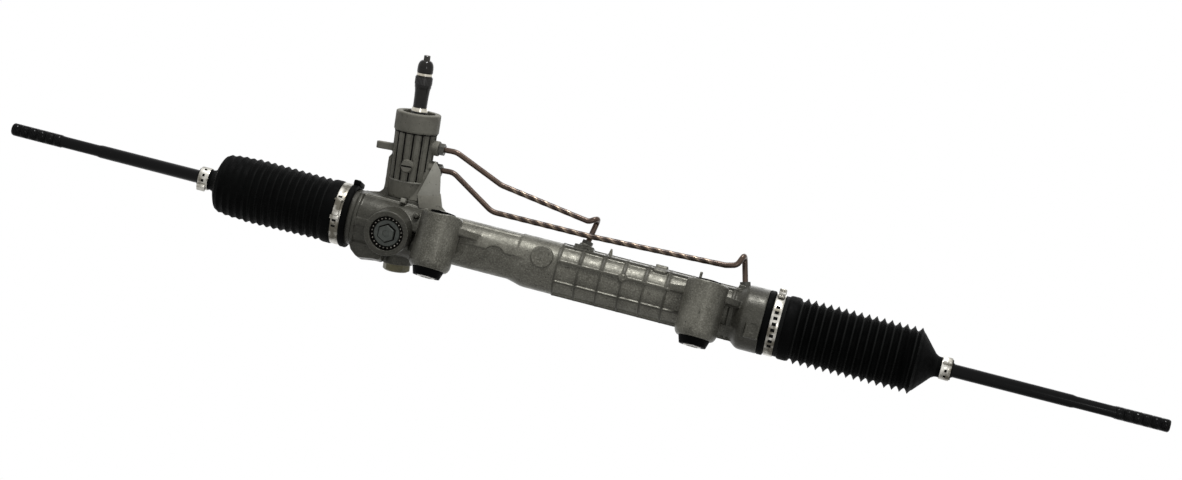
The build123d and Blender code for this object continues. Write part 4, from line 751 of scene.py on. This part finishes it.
# The plug gap is a dark plate under the hexagon, a painted shadow outlining it
plug_gap = lathe([(44.0, 0), (44.0, 10.7), (44.45, 10.7), (44.45, 0)], HEX_FRAME, 6)
plug_disc = lathe(
    [(38, 0), (38, 17.85), (40.6, 17.85), (40.6, 14.5), (42.7, 14.4), (43.6, 14.0), (44.2, 13.4),
     (44.3, 12.8), (44.3, 0)],
    ALONG_YOKE, 72)
plug_hexagon = lathe(
    [(44.0, 0), (44.0, 9.12), (47.1, 9.12), (47.6, 8.5), (47.6, 4.2), (46.6, 3.8), (46.6, 0)],
    HEX_FRAME, 6)
plug_face = merged(plug_disc, plug_hexagon)
for mesh, sharp_from in ((plug_rim, 30.0), (plug_teeth, 60.0), (plug_face, 30.0)):
    smooth(mesh, sharp_from)
for piece in (
    add_piece("plug_teeth", plug_teeth, "phosphate", TOOTH_GLINT_FINISH),
    add_piece("plug_rim", plug_rim, "dark_steel", SHADE_GAP_FINISH),
    add_piece("plug_gap", plug_gap, "dark_steel", SHADE_GAP_FINISH),
    add_piece("plug_face", plug_face, "phosphate"),
):
    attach(piece, "housing")
    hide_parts("yoke_plug")

shaft = lathe(
    [(24.5, 7.0), (49, 7.0), (49, 10.1), (93, 10.1), (93, 8.45), (125.0, 8.45), (126, 8.0),
     (129.4, 7.55), (131, 7.45), (140, 7.6), (147, 7.95), (148.0, 8.2), (149.4, 8.35), (150.1, 8.75),
     (152.4, 8.95), (153.2, 9.0), (161.6, 9.0), (162.4, 8.7), (162.8, 8.1), (165.6, 8.05),
     (166.0, 8.3), (166.8, 8.55), (171.5, 8.55), (173.5, 8.35), (175.5, 7.8), (177.2, 6.9),
     (178.4, 5.8), (179.2, 4.4), (179.2, 3.6), (148.8, 3.6), (148.8, 3.9), (24.5, 3.9)],
    ALONG_PINION, 64, closed=True)
serration = ring_of(
    "shaft_serration", 36, 8.95, (0.7, 0.8, 7.6), 157.4, ALONG_PINION, SPLINE_FINISH)
journal = merged(
    lathe([(124.8, 7.2), (124.8, 8.6), (128.6, 8.1), (129.0, 7.2)], ALONG_PINION, 64, closed=True),
    lathe([(163.0, 7.5), (163.0, 8.2), (165.4, 8.2), (165.4, 7.5)], ALONG_PINION, 64, closed=True))
for mesh in (shaft, journal):
    smooth(mesh, 30.0)
for piece in (
    add_piece("splined_shaft", shaft, "dark_steel"),
    add_piece("shaft_serration", serration, "dark_steel", SPLINE_FINISH),
    add_piece("shaft_journal", journal, "dark_steel", JOURNAL_FINISH),
):
    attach(piece, "input_shaft")
    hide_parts("input_shaft")


# ------------------------------------------------------------------ bellows
# Distances along the rack are from the lip's place, outwards.  The pleats run from start to end, the
# end closes in from shoulder to dome, and the neck grips the rod up to last.
LIP_BORE, LIP, BODY, NECK, NECK_BORE = 30.0, 34.2, 32.0, 10.7, 8.75     # radii
RUBBER_WALL, LEAST_BORE = 2.0, 8.7
PLEATS_START, PLEAT_STEPS = 36.0, 12
BELLOWS = {
    "left": {"lip_x": -94.0, "near": 6.0, "crest": 34.4, "root": 31.4, "end": 152.7, "pleats": 15,
             "shoulder": 127.0, "dome": 159.9, "last": 178.5, "closing": 0.62, "close_curve": 1.3,
             "seam": 121.6, "held": 32.0},
    "right": {"lip_x": 349.0, "near": 0.0, "crest": 35.4, "root": 30.4, "end": 165.4, "pleats": 16,
              "shoulder": 163.0, "dome": 181.0, "last": 200.4, "closing": 0.25, "close_curve": 1.0,
              "seam": 149.3, "held": 30.0},
}


def pleat(station, start, end, count):
    """0 at a pleat's root, 1 at its sharp crest."""
    phase = (station - start) / (end - start) * count
    return (1.0 - abs(math.sin(math.pi * (phase - 0.5)))) ** 0.8


def bellows_outline(side):
    """Outer (distance from the lip's place, radius) points of one bellows, lip first."""
    plan = BELLOWS[side]
    root, end, dome, last = plan["root"], plan["end"], plan["dome"], plan["last"]
    lip_points = (
        (0.4, LIP_BORE), (0.0, LIP - 1.2), (0.4, LIP - 0.4), (1.2, LIP), (5.6, LIP), (6.4, LIP - 0.5),
        (6.8, LIP - 1.3), (7.0, BODY), (15.0, BODY),
    )
    points = [(plan["near"] + station, radius) for station, radius in lip_points]
    points += [
        (21.2, BODY + 0.2), (22.0, BODY + 1.3), (24.0, BODY + 1.9), (31.0, BODY + 1.9),
        (33.5, BODY + 1.2), (PLEATS_START - 1.0, root + 0.3),
    ]
    steps = plan["pleats"] * PLEAT_STEPS
    for i in range(steps + 1):
        station = PLEATS_START + (end - PLEATS_START) * i / steps
        high = (plan["crest"] - root) * pleat(station, PLEATS_START, end, plan["pleats"])
        if side == "left":
            # shallower pleats that swell towards the shoulder and flatten on it
            swell = min(1.0, max(0.0, (station - 45.0) / 60.0))
            high = high * (0.72 if station < plan["shoulder"] - 6.0 else 0.42) + 1.0 * swell
        radius = root + high
        if station > plan["shoulder"]:
            fall = (station - plan["shoulder"]) / (dome - plan["shoulder"])
            round_off = 1.0 - math.sqrt(max(0.0, 1.0 - fall * fall))
            radius -= (root - 18.0) * round_off * plan["closing"]
        points.append((station, radius))
    top = points[-1][1]
    for i in range(1, 9):
        t = i / 8
        points.append((end + (dome - end) * t, top + (NECK + 2.2 - top) * (t ** plan["close_curve"])))
    return points + [
        (dome + 3.0, NECK + 0.4), (dome + 5.0, NECK), (last - 0.4, NECK), (last, NECK - 0.5),
        (last, NECK_BORE),
    ]


def bellows(side):
    """One bellows in two pieces that meet over the inner ball."""
    plan, hand = BELLOWS[side], HAND[side]
    outer = bellows_outline(side)
    place = frame_at((plan["lip_x"], RACK_Y, RACK_Z), (hand, 0, 0), (0, -1, 0))
    inner = [
        (station, max(radius - RUBBER_WALL, LEAST_BORE)) for station, radius in reversed(outer[10:-4])
    ]
    near = [point for point in outer if point[0] <= plan["seam"]]
    seam = near[-1][0]
    far = [point for point in outer if point[0] >= seam]
    inner_near = [point for point in inner if point[0] <= seam] + [(18.0, LIP_BORE)]
    inner_far = [point for point in inner if point[0] >= seam]
    inner_end = lathe(near + inner_near, place, 112, closed=True)
    if side == "left":
        lip_ear = block((7.6, 26.0, 6.0), rack_frame(-103.0, 90.0, 34.6), 1.6)
        inner_end = merged(inner_end, lip_ear)
    outer_end = lathe(far + inner_far, place, 112, closed=True)
    first = add_piece(f"{side}_bellows_inner_end", inner_end, "black_rubber")
    second = add_piece(f"{side}_bellows_outer_end", outer_end, "black_rubber")
    for piece in (first, second):
        smooth(piece.data, 50.0)

    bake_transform(first)
    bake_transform(second)
    for piece in (first, second):
        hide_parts(f"{side}_boot")


for side_name in ("left", "right"):
    bellows(side_name)


# ------------------------------------------------------------------ clamps
def band(x, hand, radius, width, thickness, slots):
    """Thin band round the rack axis with through slots.  Slots are (angle, half angle, half width)."""
    steps = 360                                                 # one for each degree
    rows = [-width / 2, -width / 2 + 0.5, -2.2, -1.3, 1.3, 2.2, width / 2 - 0.5, width / 2]
    lift = [0.0, 0.22, 0.25, 0.25, 0.25, 0.25, 0.22, 0.0]       # the edges curl in a little
    bm = bmesh.new()
    grid = []
    for i in range(steps):
        a = math.radians(i)
        out = Vector((0.0, -math.cos(a), math.sin(a)))
        grid.append([
            bm.verts.new((Vector((x + hand * row, RACK_Y, RACK_Z)) + out * (radius + rise)) * MM)
            for row, rise in zip(rows, lift)
        ])
    for i in range(steps):
        middle = i + 0.5
        for j in range(len(rows) - 1):
            centre = (rows[j] + rows[j + 1]) / 2
            if any(abs((middle - at + 180) % 360 - 180) < half and abs(centre) < reach
                   for at, half, reach in slots):
                continue
            k = (i + 1) % steps
            bm.faces.new((grid[i][j], grid[k][j], grid[k][j + 1], grid[i][j + 1]))
    bmesh.ops.recalc_face_normals(bm, faces=bm.faces)
    host = host_of("band", mesh_from(bm, "band"))
    wall = host.modifiers.new("wall", "SOLIDIFY")
    wall.thickness = thickness * MM
    wall.offset = 1.0
    return applied(host)


def large_clamp(side):
    """Slotted worm band on the bellows' big end, with its worm housing or its folded tail."""
    radius = 32.1
    if side == "right":
        x, width = 361.4, 8.8
        slots = [(a, 2.6, 2.0) for a in (27, 16, 5, -6, -17, -28, -39, -50)]
        buckle = [
            block((6.6, 15.0, 3.0), rack_frame(x, 62.0, radius + 2.2), 0.8),
            block((7.6, 11.0, 6.4), rack_frame(x, 84.0, radius + 3.0), 1.0),
            lathe([(0, 0), (0, 2.6), (4.2, 2.6), (4.8, 2.0), (4.8, 0)],
                  rack_frame(x - 0.6, 88.0, radius + 1.0), 20),
        ]
    else:
        x, width = -112.4, 10.2
        slots = [(a, 2.2, 1.9) for a in (24, -22, -33, *range(120, 190, 11))]
        buckle = [
            block((6.6, 17.0, 1.1), rack_frame(x, 2.0, radius + 1.4), 0.4),
            block((9.8, 2.2, 2.4), rack_frame(x, 17.0, radius + 1.6), 0.6),
            block((9.8, 4.4, 2.2), rack_frame(x, -16.0, radius + 1.5), 0.6),
        ]
    mesh = merged(band(x, HAND[side], radius, width, 0.9, slots), *buckle)
    smooth(mesh, 40.0)
    piece = add_piece(f"{side}_clamp_band", mesh, "stainless_band")
    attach(piece, "housing")
    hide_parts(f"{side}_large_clamp")


def small_clamp(side):
    """Crimped band on the bellows' neck, over the rod's seat: two standing ears under a bridge."""
    from_ball = 95.6
    x = BALL_X[side] + HAND[side] * from_ball
    radius = 11.0
    ear = -62.0 if side == "left" else 20.0
    slots = [(a, 7.0, 1.5) for a in ((8, 45, -20) if side == "left" else (-18, -50, 62))]
    parts = [
        band(x, HAND[side], radius, 10.0, 0.8, slots),
        block((9.0, 2.0, 5.0), rack_frame(x, ear, radius + 3.0), 0.6),
        block((9.0, 2.0, 5.0), rack_frame(x, ear + 20.0, radius + 2.6), 0.6),
        block((9.0, 6.4, 1.3), rack_frame(x, ear + 10.0, radius + 4.9), 0.5),
    ]
    mesh = merged(*parts)
    smooth(mesh, 40.0)
    piece = add_piece(f"{side}_neck_clamp", mesh, "stainless_band")
    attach(piece, f"{side}_tie_rod")
    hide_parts(f"{side}_small_clamp")


for side_name in ("left", "right"):
    large_clamp(side_name)
    small_clamp(side_name)


# ------------------------------------------------------------------ tie rods
ROD_LENGTH = {"left": 316.0, "right": 329.5}    # from the ball's centre
BALL_RADIUS = 12.5
THREAD_RADIUS, THREAD_PITCH, THREAD_LENGTH = 6.25, 1.5, 55.5


def tie_rod(side):
    """Inner ball, stepped rod with the clamp's seat, and a threaded end."""
    length = ROD_LENGTH[side]
    place = frame_at((BALL_X[side], RACK_Y, RACK_Z), (HAND[side], 0, 0), (0, -1, 0))
    ball_arc = [
        (BALL_RADIUS * math.sin(math.radians(a)), BALL_RADIUS * math.cos(math.radians(a)))
        for a in range(-84, 60, 6)
    ]
    outline = [(-BALL_RADIUS, 0)] + ball_arc + [
        (11.2, 6.4), (20, 6.4), (26, 6.9), (86, 6.9), (88, 8.4), (102, 8.4), (104.2, 7.1),
        (length - 102, 6.9), (length - 98, 6.2), (length - 59.5, 6.2), (length - 58, 6.35),
        (length - 1.0, 6.35), (length, 5.4), (length, 0),
    ]
    shank = lathe(outline, place, 40)
    thread_place = place @ Matrix.Translation((0, 0, (length - THREAD_LENGTH - 1.5) * MM))
    thread = thread_ridge(
        f"{side}_thread", THREAD_RADIUS, THREAD_PITCH, THREAD_LENGTH, thread_place,
        FINISHES["black_steel"])
    mesh = merged(shank, thread)
    smooth(mesh, 50.0)
    piece = add_piece(f"{side}_rod", mesh, "black_steel")
    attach(piece, f"{side}_tie_rod")
    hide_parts(f"{side}_tie_rod")


for side_name in ("left", "right"):
    tie_rod(side_name)


# ------------------------------------------------------------------ transfer pipes
PIPE_RADIUS, PIPE_SIDES = 3.0, 16
TWIST_LENGTH, TWIST_HEIGHT, TWIST_FADE = 26.0, 0.10, 12.0


def filleted(points, radii, step=1.0):
    """Points about a step apart along straight runs joined by tangent arcs."""
    path, corner_start = [], points[0]
    for previous, corner, following, radius in zip(points, points[1:], points[2:], radii):
        back = (previous - corner).normalized()
        ahead = (following - corner).normalized()
        turn = math.pi - back.angle(ahead)
        cut = radius * math.tan(turn / 2)
        arc_start, arc_end = corner + back * cut, corner + ahead * cut
        path += straight(corner_start, arc_start, step)
        centre = corner + (back + ahead).normalized() * (radius / math.cos(turn / 2))
        first, last = arc_start - centre, arc_end - centre
        normal = first.cross(last).normalized()
        count = max(4, int(turn * radius / step))
        for i in range(count):
            path.append(centre + Matrix.Rotation(turn * i / count, 3, normal) @ first)
        corner_start = arc_end
    return path + straight(corner_start, points[-1], step) + [points[-1]]


def straight(start, end, step):
    count = max(1, int((end - start).length / step))
    return [start.lerp(end, i / count) for i in range(count)]


def pipe(name, route, radii, replaced, twisted):
    """Round line with the slight spiral flats that straightening leaves between two X's."""
    path = filleted(route, radii)
    low, high = twisted
    bm = bmesh.new()
    layer = bm.verts.layers.float.new("twist")
    rings, walked, side_dir = [], 0.0, None
    for i, point in enumerate(path):
        ahead = (path[min(i + 1, len(path) - 1)] - path[max(i - 1, 0)]).normalized()
        if side_dir is None:
            side_dir = Vector((0, 0, 1))
        side_dir = (side_dir - ahead * side_dir.dot(ahead)).normalized()
        other = ahead.cross(side_dir)
        if i:
            walked += (point - path[i - 1]).length
        on_run = min(1.0, max(0.0, min(point.x - low, high - point.x) / TWIST_FADE))
        ring = []
        for k in range(PIPE_SIDES):
            angle = 2 * math.pi * k / PIPE_SIDES
            wave = math.cos(2.0 * (angle - walked * 2 * math.pi / TWIST_LENGTH))
            radius = PIPE_RADIUS + on_run * TWIST_HEIGHT * wave - on_run * TWIST_HEIGHT / 2
            out = side_dir * math.cos(angle) + other * math.sin(angle)
            vert = bm.verts.new((point + out * radius) * MM)
            # twist is low on the flats for the painted highlight and high in the turns for the painted
            # shade
            vert[layer] = 0.5 - 0.5 * on_run * wave
            ring.append(vert)
        rings.append(ring)
    for ring, following in zip(rings, rings[1:]):
        for k in range(PIPE_SIDES):
            j = (k + 1) % PIPE_SIDES
            bm.faces.new((ring[k], ring[j], following[j], following[k]))
    for rim in (rings[0], rings[-1]):
        bm.faces.new(rim)
    bmesh.ops.recalc_face_normals(bm, faces=bm.faces)
    mesh = mesh_from(bm, name)
    smooth(mesh, 60.0)
    piece = add_piece(name, mesh, "pipe_finish")
    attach(piece, "housing")
    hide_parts(replaced)


def over_rack(x, y, z):
    """A place given along the rack and then from its axis, back and up."""
    return Vector((x, RACK_Y + y, RACK_Z + z))


def beyond(point, previous, distance):
    """The place a distance past a point, on the line from the one before it."""
    return point + (point - previous).normalized() * distance


def valve_port(height):
    """Where a line leaves the tower, and its first bend."""
    turn = math.radians(-4.0)
    direction = ACROSS_DIR * math.cos(turn) + NORMAL_DIR * math.sin(turn)
    start = PINION_CENTRE + PINION_DIR * height + direction * 23.0
    return start, start + direction * 24.0


upper_start, upper_bend = valve_port(89.0)
lower_start, lower_bend = valve_port(67.0)
first_top, second_top = over_rack(149.0, 2.0, 32.4), over_rack(321.5, 0.0, 31.6)
first_hook, second_hook = over_rack(153.6, 3.0, 60.6), over_rack(313.4, -1.0, 60.6)
pipe(
    "short_pipe",
    [upper_start, upper_bend, over_rack(46.5, -10.0, 70.0), over_rack(146.0, -9.5, 55.6),
     over_rack(153.8, -9.0, 60.8), first_hook, beyond(first_top, first_hook, 5.0)],
    [20.0, 24.0, 7.0, 5.0, 6.0], "short_transfer_pipe", (50.0, 141.0),
)
pipe(
    "long_pipe",
    [lower_start, lower_bend, over_rack(44.0, -10.0, 40.2), over_rack(150.0, -12.0, 40.4),
     over_rack(297.0, -14.0, 46.0), over_rack(308.5, -14.0, 49.0), over_rack(312.8, -13.0, 60.6),
     second_hook, beyond(second_top, second_hook, 5.0)],
    [16.0, 20.0, 60.0, 12.0, 8.0, 5.0, 6.0], "long_transfer_pipe", (48.0, 293.0),
)


# ------------------------------------------------------------------ light, floor and camera
def build_world(scene):
    """Soft even light, and plain white where the camera, gloss or glass looks past the rack."""
    world = bpy.data.worlds.new("studio")
    scene.world = world
    world.use_nodes = True
    tree = world.node_tree
    tree.nodes.clear()
    rays = tree.nodes.new("ShaderNodeLightPath")
    seen, either = (tree.nodes.new("ShaderNodeMath") for _ in range(2))
    seen.operation = either.operation = "MAXIMUM"
    tree.links.new(rays.outputs["Is Glossy Ray"], either.inputs[0])
    tree.links.new(rays.outputs["Is Transmission Ray"], either.inputs[1])
    tree.links.new(rays.outputs["Is Camera Ray"], seen.inputs[0])
    tree.links.new(either.outputs[0], seen.inputs[1])
    soft, bright = (tree.nodes.new("ShaderNodeBackground") for _ in range(2))
    for light, strength in ((soft, 0.15), (bright, 1.0)):
        light.inputs["Color"].default_value = (1.0, 1.0, 1.0, 1.0)
        light.inputs["Strength"].default_value = strength
    pick = tree.nodes.new("ShaderNodeMixShader")
    out = tree.nodes.new("ShaderNodeOutputWorld")
    tree.links.new(seen.outputs[0], pick.inputs[0])
    tree.links.new(soft.outputs[0], pick.inputs[1])
    tree.links.new(bright.outputs[0], pick.inputs[2])
    tree.links.new(pick.outputs[0], out.inputs["Surface"])


def build_floor():
    """Pale disc that keeps the shadow, fades to white at its rim and can be seen through from below."""
    finish = bpy.data.materials.new("floor_pale")
    finish.use_nodes = True
    tree = finish.node_tree
    tree.nodes.clear()
    matt = tree.nodes.new("ShaderNodeBsdfDiffuse")
    matt.inputs["Color"].default_value = (0.86, 0.86, 0.86, 1.0)
    glow = tree.nodes.new("ShaderNodeEmission")
    clear = tree.nodes.new("ShaderNodeBsdfTransparent")
    place = tree.nodes.new("ShaderNodeTexCoord")
    rays = tree.nodes.new("ShaderNodeLightPath")
    face = tree.nodes.new("ShaderNodeNewGeometry")
    far = tree.nodes.new("ShaderNodeVectorMath")
    far.operation = "LENGTH"
    fade = tree.nodes.new("ShaderNodeMapRange")
    fade.inputs["From Min"].default_value = FLOOR_SIZE * 0.35
    fade.inputs["From Max"].default_value = FLOOR_SIZE
    shown = tree.nodes.new("ShaderNodeMath")
    shown.operation = "MULTIPLY"
    top, both_sides = (tree.nodes.new("ShaderNodeMixShader") for _ in range(2))
    out = tree.nodes.new("ShaderNodeOutputMaterial")
    for source, target in (
        (place.outputs["Object"], far.inputs[0]),
        (far.outputs["Value"], fade.inputs["Value"]),
        (fade.outputs[0], shown.inputs[0]),
        (rays.outputs["Is Camera Ray"], shown.inputs[1]),
        (shown.outputs[0], top.inputs[0]),
        (matt.outputs[0], top.inputs[1]),
        (glow.outputs[0], top.inputs[2]),
        (face.outputs["Backfacing"], both_sides.inputs[0]),
        (top.outputs[0], both_sides.inputs[1]),
        (clear.outputs[0], both_sides.inputs[2]),
        (both_sides.outputs[0], out.inputs["Surface"]),
    ):
        tree.links.new(source, target)
    bm = bmesh.new()
    bmesh.ops.create_circle(bm, cap_ends=True, segments=96, radius=FLOOR_SIZE)
    if next(iter(bm.faces)).normal.z < 0.0:
        bmesh.ops.reverse_faces(bm, faces=bm.faces[:])
    mesh = mesh_from(bm, "floor")
    mesh.materials.append(finish)
    floor = host_of("floor", mesh)
    floor.location = (0.16, 0.1, FLOOR_Z)


def build_lamps(scene):
    """A soft lamp above, a weak one low in front and a wide one behind."""
    for name, spot, size, watts in (
        ("key", (0.08, -1.00, 2.42), 0.6, 54.0),
        ("front", (1.00, -2.30, -0.15), 0.5, 5.5),
        ("rear", (0.4, 1.9, 1.2), 1.6, 10.0),
    ):
        data = bpy.data.lights.new(name, "AREA")
        data.shape = "DISK"
        data.size = size
        data.energy = watts
        lamp = bpy.data.objects.new(name, data)
        lamp.location = spot
        aim = Vector((0.16, 0.04, 0.02)) - Vector(spot)
        lamp.rotation_euler = aim.to_track_quat("-Z", "Y").to_euler()
        scene.collection.objects.link(lamp)


def build_camera(scene):
    """Long lens a little below the rack and to its right, rolled so that the rack falls rightwards."""
    yaw, pitch, roll = math.radians(6.5), math.radians(-6.0), math.radians(15.1)
    distance = 2.6                                          # metres
    frame_width, focal, shift_down = 1182.0, 2476.0, 37.5   # pixels
    target = mm(162.5, RACK_Y, RACK_Z)
    back = Vector((math.sin(yaw) * math.cos(pitch), -math.cos(yaw) * math.cos(pitch), math.sin(pitch)))
    level = Vector((math.cos(yaw), math.sin(yaw), 0.0))
    up = level.cross(-back)
    right = level * math.cos(roll) + up * math.sin(roll)
    up = up * math.cos(roll) - level * math.sin(roll)
    tilt = math.atan(shift_down / focal)
    ahead = -back * math.cos(tilt) + up * math.sin(tilt)
    up = right.cross(ahead)
    data = bpy.data.cameras.new("camera")
    data.sensor_width = 36.0
    data.lens = focal * data.sensor_width / frame_width
    data.clip_start, data.clip_end = 0.1, 50.0
    camera = bpy.data.objects.new("camera", data)
    facing = Matrix((right, up, -ahead)).transposed().to_4x4()
    camera.matrix_world = Matrix.Translation(target + back * distance) @ facing
    scene.collection.objects.link(camera)
    scene.camera = camera


stage_scene = bpy.context.scene
stage_scene.view_settings.view_transform = "Standard"
build_world(stage_scene)
build_floor()
build_lamps(stage_scene)
build_camera(stage_scene)
